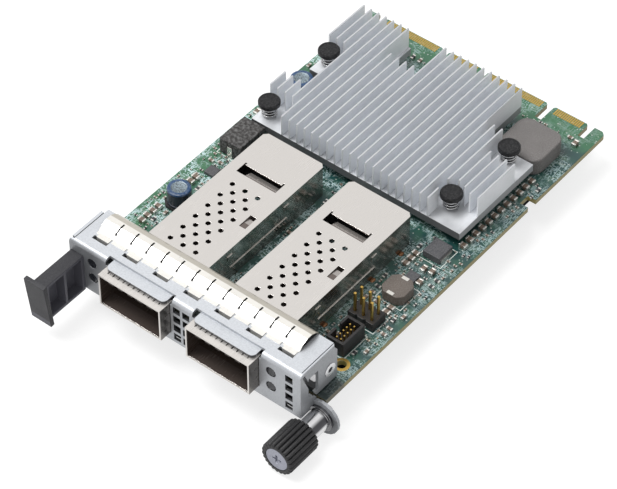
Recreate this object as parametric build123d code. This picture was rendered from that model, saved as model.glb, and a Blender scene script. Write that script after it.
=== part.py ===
from build123d import *
import math
import os

# Network adapter card with two module cages, a finned heat sink and a captive thumbscrew.
# Millimetres. X runs across the card, Y from the faceplate to the contact edge, Z up.
# The origin is the middle of the board's front edge, on its top face.

# Flats that stand for a round on parts that repeat or lie inside
fine_flats = 20
small_flats = 12
tiny_flats = 6

# Circuit board
board_width = 76.0
board_depth = 115.0
board_thickness = 1.57
side_notch_start = 80.8
side_notch_length = 3.3
side_notch_depth = 2.5
tail_width = 3.4
tail_slot_depth = 5.3
tail_chamfer = 1.2

# Contact edge, in tongues counted from the right
contact_counts = (14, 28, 14, 28)
contact_gap = 0.18
contact_length = 2.4
contact_thickness = 0.05
contact_setback = 0.5
tongue_margin = 1.4
tongue_chamfer = 0.8
tongue_bevel = 0.35
key_gap = 1.95
key_depth = 6.4
left_tail_gap = 2.25
right_tail_gap = 1.9
tongue_right = board_width / 2 - tail_width - right_tail_gap
tongue_left = left_tail_gap + tail_width - board_width / 2
tongue_count = len(contact_counts)
contact_room = tongue_right - tongue_left - 2 * tongue_count * tongue_margin - (tongue_count - 1) * key_gap
contact_pitch = contact_room / (sum(contact_counts) - tongue_count)
contact_width = contact_pitch - contact_gap

# Faceplate, a folded sheet
sheet = 0.8
face_y = -6.0
face_left = 2.0 - board_width / 2
face_right = board_width / 2 - 2.65
face_top = 11.5
face_bottom = -2.9
face_bend = 1.2
flange_rear = 7.2
flange_gap = 0.3
flange_corner = 0.7
fold_groove_width = 0.25
fold_groove_depth = 0.4
fold_radius = 0.35
wall_rise = 1.4
wall_top_drop = 0.1
left_wall_rear = 5.8
right_wall_rear = 7.6
right_wall_corner = 1.1
right_wall_bottom = 0.4
wall_relief = 0.9
mount_foot_length = 5.0
mount_foot_width = 5.5
mount_foot_front = 0.6
side_slot_front = -3.1
side_slot_length = 3.6
side_slot_bottom = 1.8
side_slot_top = 8.3
stiffener_inset = 1.5
stiffener_length = 3.6

# Openings in the faceplate
vent_side = 2.2
vent_pitch = 3.05
vent_top = 8.3
vent_rows = 4
lamp_hole_radius = 1.5
lamp_heights = (7.2, 2.2)

# Finger strip on the faceplate's top flange
finger_count = 13
finger_left = face_left + 4.14
finger_right = face_right - 5.15
finger_pitch = (finger_right - finger_left) / finger_count
finger_thickness = 0.15
finger_slit = 0.45
finger_slit_front = 0.95
finger_slit_end = 4.3
finger_toe = -1.5
finger_toe_relief = -0.1
finger_toe_inset = 0.85
finger_toe_side = -0.7
finger_plain_end = -1.1
finger_foot = 0.2
finger_crest_y = 3.0
finger_crest_z = 13.5
finger_clip = 1.6
arch_chords = 5
hook_slot_front = -2.45
hook_clearance = 0.1
hook_depth = 1.3

# Module cages
cage_width = 19.0
cage_height = 9.75
cage_front = -9.4
cage_rear = 53.3
cage_left_x = -23.45
cage_right_x = 3.63
cage_wall = 0.3
cage_corner = 1.0
vent_hole_diameter = 1.5
vent_row_pitch = 2.335
vent_column_pitch = 2.0
vent_first_row = 33.95
vent_row_count = 11
cage_slot_front = 38.1
cage_slot_length = 3.0
cage_slot_margin = 3.3
cage_slot_ear = 0.8
cage_slot_notch = 0.45
vent_axis_shift = -0.25
side_tab = 0.2
skirt_height = 3.5
cage_flap_start = 2.6
cage_flap_drop = 1.1
cage_window_front = 24.0
cage_window_length = 4.5
cage_window_width = 1.9
cage_window_inset = 1.5
cage_window_side = 0.15
cage_window_drop = 0.6
side_window_rows = (16.3, 38.0)
side_window_height = 6.3
side_window_length = 1.9
side_window_tall = 1.5
cage_leg_rows = (3.5, 18.5, 37.2, 48.5)
cage_leg_width = 0.7
cage_leg_drop = 2.3
leg_hole_clearance = 0.1
cage_floor_end = 39.0
cage_gap_middle = (cage_left_x + cage_width + cage_right_x) / 2
right_strip = (cage_right_x + cage_width + board_width / 2) / 2

# Columns of vents and lamps in the faceplate
vent_columns = (cage_gap_middle - 1.79, cage_gap_middle + 1.11, face_right - 3.5)
left_lamp = face_left + sheet + mount_foot_length + 1.4
right_lamp = (cage_right_x + cage_width + face_right - sheet - mount_foot_length) / 2 + 0.41
lamp_columns = (left_lamp, right_lamp)

# Gasket sleeves round the cage mouths
gasket_thickness = 0.2
gasket_band = 1.4
gasket_finger_end = -4.9
gasket_top_fingers = 12
gasket_side_fingers = 3
gasket_slit = 0.25
gasket_clearance = 0.12

# Tongue of the top flange over each cage
tongue_front = -7.4
tongue_root = -4.2
tongue_top = 10.75
tongue_inset = 0.3
tongue_radius = 1.4
tongue_relief = 0.9

# Receptacles inside the cages
receptacle_front = 41.6
receptacle_rear = cage_rear - cage_wall - cage_corner
receptacle_clearance = 0.3
receptacle_height = 5.9
receptacle_slot_height = 1.3
receptacle_slot_level = 3.1
receptacle_slot_wall = 0.6
receptacle_slot_depth = 5.5

# Heat sink
sink_half_width = 32.8
sink_front = 58.9
sink_rear = 105.1
sink_base_bottom = 2.6
sink_base_top = 4.8
sink_top = 11.3
fin_count = 28
fin_thickness = 0.45
sink_step_rear = 89.8
short_fin_front = 66.3
short_fin_rear = 72.4
rear_fin_front = 90.3
right_fin_rear = 81.6
pin_bay_fins = 4
rear_bay_fins = (6.5, 10.5)
rear_step_fins = 6.1
can_bay = (73.2, 82.4)
can_bay_width = 4.6
rear_bay_front = 94.6

# Push pins that hold the heat sink down
pin_places = ((-30.0, 62.7), (25.5, 65.2), (27.0, 87.2), (-30.1, 87.1))
pin_cap_radius = 2.8
pin_cap_thickness = 1.4
pin_cap_top = 10.0
pin_shank_radius = 1.0
pin_barb_radius = 1.5
pin_barb_length = 1.3
pin_barb_taper = 0.9
pin_hole_clearance = 0.15
pin_spring_radius = 1.75
pin_spring_wire = 0.4
pin_spring_turns = 3
spring_gap = 0.05
fin_clearance = 3.3

# Processor under the heat sink
processor_side = 25.0
processor_y = 75.0
processor_substrate = 1.0
thermal_pad_thickness = 0.3
thermal_pad_inset = 1.0

# Pull tab
tab_left = face_left + 0.6
tab_right = tab_left + 3.9
tab_top = 8.3
tab_bottom = -3.4
tab_front = -19.4
tab_wall = 0.9
tab_plate_thickness = 1.2
tab_plate_left = tab_left - 2.1
tab_plate_right = tab_right + 0.5
tab_plate_top = 8.8
tab_plate_bottom = -5.6
tab_plate_tilt = 6.0
tab_rib = 0.8
tab_peg_radius = 1.0
tab_peg_heights = (6.0, -1.0)
tab_peg_head = 0.5

# Captive thumbscrew
ear_radius = 5.1
ear_front = -1.0
screw_x = face_right + 2.05
screw_z = -5.3
barrel_radius = 3.0
barrel_front = -9.2
barrel_collar_radius = 3.7
barrel_collar = 0.7
collar_relief = 0.8
barrel_spigot_radius = 2.5
barrel_pocket_radius = 2.4
barrel_web_front = -4.6
barrel_web = 0.8
shank_clearance = 0.2
knob_radius = 4.6
knob_front = -17.6
knob_rear = -7.4
knob_web_rear = -14.4
knob_clearance = 0.2
flute_count = 20
flute_depth = 0.4
ridge_share = 0.5
head_radius = 3.2
head_thickness = 1.2
head_recess = 0.1
screw_shank_radius = 1.15
thread_radius = 1.5
catch_front = -3.6
thread_front = 0.0
thread_tip = 2.4
thread_chamfer = 0.5
recess_width = 0.8
recess_length = 3.2
recess_depth = 0.8
knob_spring_radius = 1.8
knob_spring_wire = 0.4
knob_spring_turns = 5

# Underside
insulator_top = -3.1
insulator_thickness = 0.25
insulator_half_width = 35.2
insulator_front = -4.2
insulator_neck_half_width = 33.0
insulator_neck_end = 8.0
insulator_rear = board_depth - 11.0
insulator_corner = 2.0
strip_rows = (45.0, insulator_rear - 8.0)
strip_inset = 1.6
strip_width = 2.4
strip_length = 18.0
foot_screw_radius = 1.25
foot_screw_head_radius = 2.3
foot_screw_head = 1.0

# Lamps and light pipes behind the faceplate
lamp_size = (1.6, 0.9, 0.7)
pipe_radius = 1.35
pipe_foot = 1.4
pipe_gap = 0.1
pipe_ends = (4.6, 1.9)

# Clinch nut in the right wall
nut_y = 4.8
nut_z = 4.9
nut_bore_radius = 0.8
nut_barrel_radius = 1.3
nut_ring_radius = 1.9
nut_ring = 0.25
nut_collar_radius = 2.2
nut_collar = 1.2

# Parts soldered to the board
locating_hole = (board_width / 2 - 4.1, 11.1)
locating_hole_radius = 1.25
large_inductor_place = (board_width / 2 - 10.95, board_depth - 18.35)
large_inductor_size = (12.9, 13.0, 5.0)
large_inductor_corner = 2.4
rear_inductor_place = (6.85 - board_width / 2, 53.3)
rear_inductor_size = (6.9, 10.0, 5.0)
small_inductor_place = (right_strip + 0.185, 37.3)
small_inductor_size = (6.8, 7.0, 3.0)
small_inductor_corner = 1.5
inductor_tab = (1.9, 1.0, 0.1)
rear_inductor_tab = (1.5, 0.2, 3.4)
diode_place = (right_strip - 0.315, 54.0)
diode_size = (5.0, 5.6, 2.1)
diode_lead = 0.25
diode_lead_share = 0.8
can_places = ((7.6 - board_width / 2, 27.9), (1.2 - sink_half_width, 77.7))
can_base_side = 6.6
can_base_height = 0.9
can_base_corner = 1.4
can_radius = 3.1
can_top = 5.8
chip_size = (2.0, 1.25, 1.1)
edge_row_x = board_width / 2 - 4.5
edge_row_start = 59.8
edge_row_pitch = 2.6
edge_row_count = 12
left_row_x = 4.4 - board_width / 2
left_row_start = 17.3
left_row_pitch = 2.06
left_row_count = 4
left_chips = ((5.0, 35.2), (5.0, 37.1))
strip_chips = ((-4.215, 46.3), (-4.215, 48.4), (-4.215, 50.4), (1.985, 30.5), (1.985, 32.3))
gap_chips = ((0.11, 47.0), (0.11, 49.5))
rear_chips = ((24.5, 9.4), (27.6, 9.2))
turned_left_chips = ((2.0, 65.0), (2.0, 68.0))
turned_strip_chips = ((0.385, 47.5), (2.585, 47.9), (2.285, 43.2))
turned_rear_chip = (34.3, 8.7)
regulator_places = ((7.0 - board_width / 2, 41.2), (right_strip - 0.215, 43.6))
regulator_size = (3.0, 3.0, 0.95)

# Pin headers
post_pitch = 2.54
post_side = 0.64
post_top = 8.5
post_tail = -2.6
post_block_height = 2.5
post_margin = 1.3
post_grid = (3, 2)
post_place = (right_strip - 0.765, 26.3)
post_hole_clearance = 0.1
socket_pitch = 1.27
socket_pin_side = 0.4
socket_pin_top = 3.9
socket_grid = (2, 5)
socket_place = (right_strip - 0.015, 17.2)
socket_size = (5.2, 8.4, 4.4)
socket_wall = 0.7
socket_floor = 1.2
socket_key = 1.8


def span(low, high):
    """A pair of ends along one axis."""
    return (low, high)


def block(x, y, z):
    """A box from its two ends along X, Y and Z."""
    box = Box(x[1] - x[0], y[1] - y[0], z[1] - z[0], align=Align.MIN)
    return Pos(x[0], y[0], z[0]) * box


def brick(x, y, size, z=0.0):
    """A box centred on x and y that stands on z."""
    return Pos(x, y, z) * Box(*size, align=(Align.CENTER, Align.CENTER, Align.MIN))


def rod(radius, length, flats):
    """A round bar standing on the origin, or a prism where a number of flats is given."""
    if flats:
        return extrude(RegularPolygon(radius, flats), amount=length)
    return Cylinder(radius, length, align=(Align.CENTER, Align.CENTER, Align.MIN))


def rod_z(radius, x, y, z, flats=None):
    """A round bar along Z."""
    return Pos(x, y, z[0]) * rod(radius, z[1] - z[0], flats)


def rod_y(radius, x, z, y, flats=None):
    """A round bar along Y."""
    return Pos(x, y[0], z) * Rot(-90, 0, 0) * rod(radius, y[1] - y[0], flats)


def rod_x(radius, y, z, x, flats=None):
    """A round bar along X."""
    return Pos(x[0], y, z) * Rot(0, 90, 0) * rod(radius, x[1] - x[0], flats)


def plate(points, z):
    """A flat plate with a polygon outline in X and Y."""
    outline = make_face(Polyline(*points, close=True))
    return Pos(0, 0, z[0]) * extrude(outline, amount=z[1] - z[0])


def side_plate(points, x):
    """A flat plate with a polygon outline in Y and Z."""
    outline = Plane.YZ.offset(x[0]) * make_face(Polyline(*points, close=True))
    return extrude(outline, amount=x[1] - x[0])


def tongue_spans():
    """The left end, right end and contact count of each tongue, from the right."""
    spans = []
    right = tongue_right
    for count in contact_counts:
        left = right - (count - 1) * contact_pitch - 2 * tongue_margin
        spans.append((left, right, count))
        right = left - key_gap
    return spans


def cages():
    """The left wall of each cage."""
    return (cage_left_x, cage_right_x)


def cage_legs():
    """The centre of each cage leg on the board."""
    legs = []
    for left in cages():
        for y in cage_leg_rows:
            legs.append((left + cage_wall / 2, y))
            legs.append((left + cage_width - cage_wall / 2, y))
    return legs


def mount_feet():
    """The centre of the two feet that carry the faceplate on the board."""
    y = mount_foot_front + mount_foot_width / 2
    left = face_left + sheet + mount_foot_length / 2
    right = face_right - sheet - mount_foot_length / 2
    return ((left, y), (right, y))


def circuit_board():
    half = board_width / 2
    z = span(-board_thickness, 0)
    board = block(span(-half, half), span(0, board_depth), z)
    tongues = tongue_spans()
    for (left, _, _), (_, right, _) in zip(tongues, tongues[1:]):
        board -= block(span(right, left), span(board_depth - key_depth, board_depth), z)
    slot = span(board_depth - tail_slot_depth, board_depth)
    board -= block(span(tongue_right, half - tail_width), slot, z)
    board -= block(span(tail_width - half, tongue_left), slot, z)
    for side in (-1, 1):
        inner, outer = sorted((side * (half - side_notch_depth), side * half))
        rows = span(side_notch_start, side_notch_start + side_notch_length)
        board -= block(span(inner, outer), rows, z)
        board -= corner_cut(side * half, -side * tail_chamfer, z)
    for left, right, _ in tongues:
        board -= corner_cut(left, tongue_chamfer, z)
        board -= corner_cut(right, -tongue_chamfer, z)
    edge = board.edges().filter_by(Axis.X).group_by(Axis.Y)[-1]
    board = chamfer(edge, tongue_bevel)
    for x, y in pin_places:
        board -= rod_z(pin_shank_radius + pin_hole_clearance, x, y, z, small_flats)
    for x, y in mount_feet():
        board -= rod_z(foot_screw_radius, x, y, z, tiny_flats)
    board -= rod_z(locating_hole_radius, *locating_hole, z, fine_flats)
    play = 2 * leg_hole_clearance
    leg_hole = (cage_wall + play, cage_leg_width + play, board_thickness)
    holes = [brick(x, y, leg_hole, z[0]) for x, y in cage_legs()]
    post_hole = post_side + 2 * post_hole_clearance
    holes += [brick(x, y, (post_hole, post_hole, board_thickness), z[0]) for x, y in post_places()]
    return board - holes


def corner_cut(end, inward, z):
    """A triangle that cuts a corner off the rear edge at a given X."""
    corner = [(end, board_depth), (end + inward, board_depth), (end, board_depth - abs(inward))]
    return plate(corner, z)


def edge_contacts():
    """Gold pads on both faces of every tongue."""
    pads = []
    y = board_depth - contact_setback - contact_length / 2
    size = (contact_width, contact_length, contact_thickness)
    for left, _, count in tongue_spans():
        for index in range(count):
            x = left + tongue_margin + index * contact_pitch
            pads.append(brick(x, y, size))
            pads.append(brick(x, y, size, -board_thickness - contact_thickness))
    return Compound(children=pads)


def faceplate():
    """The folded sheet with every opening cut."""
    plate_part = faceplate_shell() + faceplate_sides() + screw_ear()
    for x, y in mount_feet():
        outer = math.copysign(mount_foot_length / 2, x)
        ends = span(*sorted((x - outer, x + outer)))
        depth = span(mount_foot_front, mount_foot_front + mount_foot_width)
        plate_part += block(ends, depth, span(0, sheet))
        plate_part -= rod_z(foot_screw_radius, x, y, span(0, sheet), tiny_flats)
    for left in cages():
        plate_part = cut_cage_mouth(plate_part, left)
    wall = span(face_y, face_y + sheet)
    half = vent_side / 2
    vents = []
    for x in vent_columns:
        for row in range(vent_rows):
            z = vent_top - row * vent_pitch
            vents.append(block(span(x - half, x + half), wall, span(z - half, z + half)))
    plate_part -= vents
    for x in lamp_columns:
        for z in lamp_heights:
            plate_part -= rod_y(lamp_hole_radius, x, z, wall, small_flats)
    for z in tab_peg_heights:
        plate_part -= rod_y(tab_peg_radius, (tab_left + tab_right) / 2, z, wall, tiny_flats)
    plate_part -= hook_slots()
    side = span(face_right - sheet, face_right)
    rows = span(side_slot_front, side_slot_front + side_slot_length)
    plate_part -= block(side, rows, span(side_slot_bottom, side_slot_top))
    return plate_part - rod_x(nut_barrel_radius, nut_y, nut_z, side, small_flats)


def faceplate_shell():
    """The front wall and the top flange, joined by a round bend."""
    face = block(span(face_left, face_right), span(face_y, face_y + sheet), span(face_bottom, face_top))
    corner = flange_corner
    flange_left = face_left + sheet + flange_gap
    flange = [(face_left, face_y), (face_right, face_y), (face_right, flange_rear - corner)]
    flange += [(face_right - corner, flange_rear), (flange_left, flange_rear)]
    flange += [(flange_left, face_y + sheet), (face_left, face_y + sheet)]
    face += plate(flange, span(face_top - sheet, face_top))
    bend = face.edges().filter_by(Axis.X).group_by(Axis.Y)[0].sort_by(Axis.Z)[-1]
    face = fillet(bend, face_bend)
    fold = face.edges().filter_by(Axis.Y).group_by(Axis.Z)[-1].sort_by(Axis.X)[-1]
    face = fillet(fold, fold_radius)
    groove = span(face_right - sheet, face_right - sheet + fold_groove_width)
    rows = span(face_y + wall_rise, flange_rear)
    return face - block(groove, rows, span(face_top - fold_groove_depth, face_top))


def faceplate_sides():
    """The left wall, and on the right the gusset, the upright wall and the stiffener."""
    rear = face_y + sheet
    low = face_top - face_bend
    step = ear_front + sheet
    left_wall = [(face_y, face_bottom), (step, face_bottom), (step, right_wall_bottom)]
    left_wall += [(left_wall_rear, right_wall_bottom), (left_wall_rear, face_top - wall_top_drop)]
    left_wall += [(face_y + wall_rise, face_top - wall_top_drop), (face_y + wall_rise, low), (face_y, low)]
    walls = side_plate(left_wall, span(face_left, face_left + sheet))
    right = span(face_right - sheet, face_right)
    relief = ear_front - 2 * barrel_collar
    gusset = [(face_y, face_bottom), (relief, face_bottom), (relief, face_bottom + collar_relief)]
    gusset += [(ear_front + sheet, face_bottom + collar_relief), (ear_front + sheet, screw_z + ear_radius)]
    gusset += [(ear_front, screw_z + ear_radius), (rear, low), (face_y, low)]
    walls += side_plate(gusset, right)
    upright = [(rear + wall_relief, face_top - sheet), (rear + wall_relief, low)]
    upright += [(ear_front + wall_relief, right_wall_bottom), (right_wall_rear, right_wall_bottom)]
    upright += [(right_wall_rear, face_top - sheet - right_wall_corner)]
    upright += [(right_wall_rear - right_wall_corner, face_top - sheet)]
    walls += side_plate(upright, right)
    inner = face_right - stiffener_inset - sheet
    rows = span(face_y, face_y + stiffener_length)
    return walls + block(span(inner, inner + sheet), rows, span(face_bottom, low))


def screw_ear():
    """The round ear that carries the thumbscrew, folded out of the gusset."""
    inner = face_right - sheet
    y = span(ear_front, ear_front + sheet)
    ear = rod_y(ear_radius, screw_x, screw_z, y, fine_flats)
    ear -= block(span(screw_x - 2 * ear_radius, inner), y, span(screw_z - ear_radius, screw_z + ear_radius))
    return ear - rod_y(barrel_spigot_radius, screw_x, screw_z, y, small_flats)


def cut_cage_mouth(plate_part, left):
    """Opens the front wall round a cage and leaves the flange's tongue over it."""
    right = left + cage_width
    mouth = gasket_thickness + gasket_clearance
    wide = span(left - mouth, right + mouth)
    plate_part -= block(wide, span(face_y, face_y + sheet), span(-mouth, face_top))
    relief = span(left - tongue_relief, right + tongue_relief)
    plate_part -= block(relief, span(face_y, tongue_root), span(cage_height, face_top))
    x = span(left + tongue_inset, right - tongue_inset)
    tongue = block(x, span(tongue_front, tongue_root + sheet), span(tongue_top - sheet, tongue_top))
    front = tongue.edges().filter_by(Axis.Z).group_by(Axis.Y)[0]
    tongue = fillet(front, tongue_radius)
    step = block(x, span(tongue_root, tongue_root + sheet), span(tongue_top - sheet, face_top))
    return plate_part + tongue + step


def hook_slots():
    """Slots in the top flange for the hooked fingers of the finger strip."""
    slots = []
    for index in range(0, finger_count, 2):
        right = finger_right - index * finger_pitch
        x = span(right - finger_pitch + hook_clearance, right - hook_clearance)
        rows = span(hook_slot_front, finger_toe + finger_thickness / 2 + hook_clearance)
        slots.append(block(x, rows, span(face_top - sheet, face_top)))
    return slots


def finger_profile():
    """The strip's section: a toe through the flange, an arch and a clip round its rear edge."""
    half = finger_thickness / 2
    seat = face_top + half
    under = face_top - sheet - half
    back = flange_rear + hook_clearance + half
    arch = ThreePointArc((finger_foot, seat), (finger_crest_y, finger_crest_z - half), (back, face_top))
    points = [(finger_toe, face_top - hook_depth), (finger_toe, seat)]
    crest = [arch @ (step / arch_chords) for step in range(arch_chords + 1)]
    points += [(place.X, place.Y) for place in crest]
    points += [(back, under), (flange_rear - finger_clip, under)]
    middle = Polyline(*points)
    return make_face(offset(middle, amount=half, kind=Kind.INTERSECTION, side=Side.BOTH, closed=True))


def emi_finger_strip():
    """Arched spring fingers clipped over the rear edge of the top flange."""
    strip = extrude(Plane.YZ.offset(finger_left) * finger_profile(), amount=finger_right - finger_left)
    front = finger_toe - finger_thickness
    height = span(face_top - hook_depth, finger_crest_z)
    cuts = []
    for index in range(finger_count):
        right = finger_right - index * finger_pitch
        left = right - finger_pitch
        slit = span(right - finger_slit / 2, right + finger_slit / 2)
        cuts.append(block(slit, span(front, finger_toe_relief), height))
        if index:
            cuts.append(block(slit, span(finger_slit_front, finger_slit_end), height))
        if index % 2:
            cuts.append(block(span(left, right), span(front, finger_plain_end), height))
        else:
            cuts.append(block(span(left, left + finger_toe_inset), span(front, finger_toe_side), height))
    return strip - cuts


def pull_tab():
    """Channel-shaped arm with a tilted finger plate, staked into the faceplate."""
    middle = (tab_left + tab_right) / 2
    arm = block(span(tab_left, tab_right), span(tab_front, face_y), span(tab_bottom, tab_top))
    low, high = tab_bottom + tab_wall, tab_top - tab_wall
    rib = (tab_front + face_y) / 2
    for front, rear in ((tab_front + tab_wall, rib - tab_rib / 2), (rib + tab_rib / 2, face_y - tab_wall)):
        arm -= block(span(tab_left + tab_wall, tab_right), span(front, rear), span(low, high))
    width = tab_plate_right - tab_plate_left
    height = tab_plate_top - tab_plate_bottom
    centre = Pos(tab_plate_left + width / 2, tab_front, tab_plate_bottom + height / 2)
    arm += centre * Rot(tab_plate_tilt, 0, 0) * Box(width, tab_plate_thickness, height)
    for z in tab_peg_heights:
        arm += rod_y(tab_peg_radius, middle, z, span(face_y, face_y + sheet), tiny_flats)
        rear = span(face_y + sheet, face_y + sheet + tab_peg_head)
        arm += rod_y(tab_peg_radius + tab_peg_head, middle, z, rear, tiny_flats)
    return arm


def side_nut():
    """Clinch nut in the right wall."""
    outer = span(face_right, face_right + nut_ring)
    inner = span(face_right - sheet - nut_collar, face_right - sheet)
    nut = rod_x(nut_ring_radius, nut_y, nut_z, outer, small_flats)
    nut += rod_x(nut_barrel_radius, nut_y, nut_z, span(face_right - sheet, face_right), small_flats)
    nut += rod_x(nut_collar_radius, nut_y, nut_z, inner, small_flats)
    return nut - rod_x(nut_bore_radius, nut_y, nut_z, span(inner[0], outer[1]), small_flats)


def louver(x, y, drop):
    """A tongue lanced out of a cage roof, hinged at its front edge and sloping inward."""
    top = cage_height
    low = top - cage_wall
    points = [(y[0], top), (y[0], low), (y[1], low - drop), (y[1], top - drop)]
    return side_plate(points, x)


def cage(left):
    """A folded cage, open at the front, with vents and a slot in its roof."""
    right = left + cage_width
    shell = cage_box(span(left, right), span(cage_front, cage_rear), span(0, cage_height))
    shell -= cage_box(
        span(left + cage_wall, right - cage_wall),
        span(cage_front, cage_rear - cage_wall),
        span(cage_wall, cage_height - cage_wall),
    )
    floor = span(cage_floor_end, cage_rear - cage_wall - cage_corner)
    shell -= block(span(left + cage_wall, right - cage_wall), floor, span(0, cage_wall))
    roof = span(cage_height - cage_wall, cage_height)
    middle = left + cage_width / 2 + vent_axis_shift
    half = cage_width / 2 - cage_slot_margin
    slot = span(cage_slot_front, cage_slot_front + cage_slot_length)
    shell -= block(span(middle - half, middle + half), slot, roof)
    ear = span(slot[0], slot[1] + cage_slot_ear)
    shell -= block(span(middle - half, middle - half + cage_slot_notch), ear, roof)
    shell -= block(span(middle + half - cage_slot_notch, middle + half), ear, roof)
    flap = span(middle - half + cage_flap_start, middle + half)
    shell += louver(flap, span(slot[0] - cage_wall, slot[1] - cage_slot_notch), cage_flap_drop)
    window = span(right - cage_window_inset - cage_window_width, right - cage_window_inset)
    rows = span(cage_window_front, cage_window_front + cage_window_length)
    shell -= block(window, rows, roof)
    flap = span(window[0] + cage_window_side, window[1] - cage_window_side)
    shell += louver(flap, span(rows[0] - cage_wall, rows[1] - cage_slot_ear), cage_window_drop)
    shell -= vent_holes(middle, roof)
    return shell + cage_side_trim(left, right)


def cage_box(x, y, z):
    """A box with its two rear corners cut."""
    box = block(x, y, z)
    return chamfer(box.edges().filter_by(Axis.Z).group_by(Axis.Y)[-1], cage_corner)


def vent_holes(middle, roof):
    """Staggered rows of vents, three and two to a row, each drawn with flats."""
    hole = RegularPolygon(vent_hole_diameter / 2, tiny_flats)
    holes = []
    for row in range(vent_row_count):
        y = vent_first_row - row * vent_row_pitch
        columns = (-2, 0, 2) if row % 2 == 0 else (-1, 1)
        for column in columns:
            x = middle + column * vent_column_pitch
            holes.append(Pos(x, y, roof[0]) * extrude(hole, amount=roof[1] - roof[0]))
    return holes


def cage_side_trim(left, right):
    """Solder legs, latch tabs and the seam of the roof's skirt."""
    trim = []
    leg = (cage_wall, cage_leg_width, cage_leg_drop)
    for wall in (left + cage_wall / 2, right - cage_wall / 2):
        for y in cage_leg_rows:
            trim.append(brick(wall, y, leg, -cage_leg_drop))
    for x in (span(left - side_tab, left), span(right, right + side_tab)):
        for y in side_window_rows:
            rows = span(y - side_window_length / 2, y + side_window_length / 2)
            trim.append(block(x, rows, span(side_window_height, side_window_height + side_window_tall)))
        trim.append(block(x, span(*side_window_rows), span(skirt_height, skirt_height + side_tab)))
    return trim


def cage_gasket(left):
    """Sleeve of spring fingers round the cage mouth, folded over its front edge."""
    right = left + cage_width
    t = gasket_thickness
    length = span(cage_front - t, gasket_finger_end)
    outer = block(span(left - t, right + t), length, span(-t, cage_height + t))
    outer -= block(span(left, right), span(cage_front, gasket_finger_end), span(0, cage_height))
    mouth = span(left + cage_wall, right - cage_wall)
    outer -= block(mouth, span(cage_front - t, cage_front), span(cage_wall, cage_height - cage_wall))
    rows = span(cage_front + gasket_band, gasket_finger_end)
    half = gasket_slit / 2
    slits = []
    for index in range(1, gasket_top_fingers):
        x = left + index * cage_width / gasket_top_fingers
        for z in (span(-t, 0), span(cage_height, cage_height + t)):
            slits.append(block(span(x - half, x + half), rows, z))
    for index in range(1, gasket_side_fingers):
        z = index * cage_height / gasket_side_fingers
        for x in (span(left - t, left), span(right, right + t)):
            slits.append(block(x, rows, span(z - half, z + half)))
    return outer - slits


def receptacle(left):
    """Connector body at the back of a cage, with the slot a module plugs into."""
    middle = left + cage_width / 2
    half = cage_width / 2 - cage_wall - receptacle_clearance
    rows = span(receptacle_front, receptacle_rear)
    body = block(span(middle - half, middle + half), rows, span(0, receptacle_height))
    rear = body.edges().filter_by(Axis.X).group_by(Axis.Y)[-1].sort_by(Axis.Z)[-1]
    body = chamfer(rear, receptacle_slot_height)
    half -= receptacle_slot_wall
    depth = span(receptacle_front, receptacle_front + receptacle_slot_depth)
    level = span(receptacle_slot_level, receptacle_slot_level + receptacle_slot_height)
    return body - block(span(middle - half, middle + half), depth, level)


def light_pipes():
    """Clear rods from the lamps on the board to the faceplate holes."""
    pipes = []
    for x in lamp_columns:
        for z, rear in zip(lamp_heights, pipe_ends):
            pipe = rod_y(pipe_radius, x, z, span(face_y + pipe_gap, rear), tiny_flats)
            drop = z + pipe_radius - lamp_size[2] - pipe_gap
            pipe += brick(x, rear - pipe_foot / 2, (pipe_foot, pipe_foot, drop), lamp_size[2] + pipe_gap)
            pipes.append(pipe)
    return Compound(children=pipes)


def status_lamps():
    """Lamps on the board under the feet of the light pipes."""
    places = [(x, rear - pipe_foot / 2) for x in lamp_columns for rear in pipe_ends]
    return Compound(children=[brick(x, y, lamp_size) for x, y in places])


def heat_sink():
    """Base plate with upright fins, cut away round the push pins and tall parts."""
    half = sink_half_width
    fin_z = span(sink_base_top, sink_top)
    sink = block(span(-half, half), span(sink_front, sink_rear), span(sink_base_bottom, sink_base_top))
    fin_pitch = (2 * half - fin_thickness) / (fin_count - 1)
    fins = []
    for index in range(fin_count):
        x = -half + index * fin_pitch
        fins.append(block(span(x, x + fin_thickness), span(sink_front, sink_rear), fin_z))
    sink += fins
    whole_z = span(sink_base_bottom, sink_top)
    left_edge = -half + pin_bay_fins * fin_pitch - fin_pitch / 2
    right_edge = half - pin_bay_fins * fin_pitch + fin_pitch / 2
    sink -= block(span(-half, left_edge), span(sink_front, short_fin_front), fin_z)
    sink -= block(span(right_edge, half), span(sink_front, short_fin_front), fin_z)
    sink -= block(span(-half, left_edge - fin_pitch), span(short_fin_rear, rear_fin_front), fin_z)
    sink -= block(span(right_edge, half), span(right_fin_rear, sink_rear), fin_z)
    sink -= block(span(-half, -half + can_bay_width), span(*can_bay), whole_z)
    rear_bay = span(-half + rear_bay_fins[0] * fin_pitch, -half + rear_bay_fins[1] * fin_pitch)
    sink -= block(rear_bay, span(rear_bay_front, sink_rear), whole_z)
    sink -= block(span(half - rear_step_fins * fin_pitch, half), span(sink_step_rear, sink_rear), whole_z)
    for x, y in pin_places:
        sink -= rod_z(fin_clearance, x, y, fin_z, small_flats)
        hole = span(sink_base_bottom, sink_base_top)
        sink -= rod_z(pin_shank_radius + pin_hole_clearance, x, y, hole, small_flats)
    return sink


def processor():
    """Chip package with its stepped lid."""
    top = sink_base_bottom - thermal_pad_thickness
    step = processor_substrate
    chip = brick(0, processor_y, (processor_side, processor_side, step))
    lid = processor_side - 2 * thermal_pad_inset
    return chip + brick(0, processor_y, (lid, lid, top - step), step)


def thermal_pad():
    side = processor_side - 2 * thermal_pad_inset
    size = (side, side, thermal_pad_thickness)
    return brick(0, processor_y, size, sink_base_bottom - thermal_pad_thickness)


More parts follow.
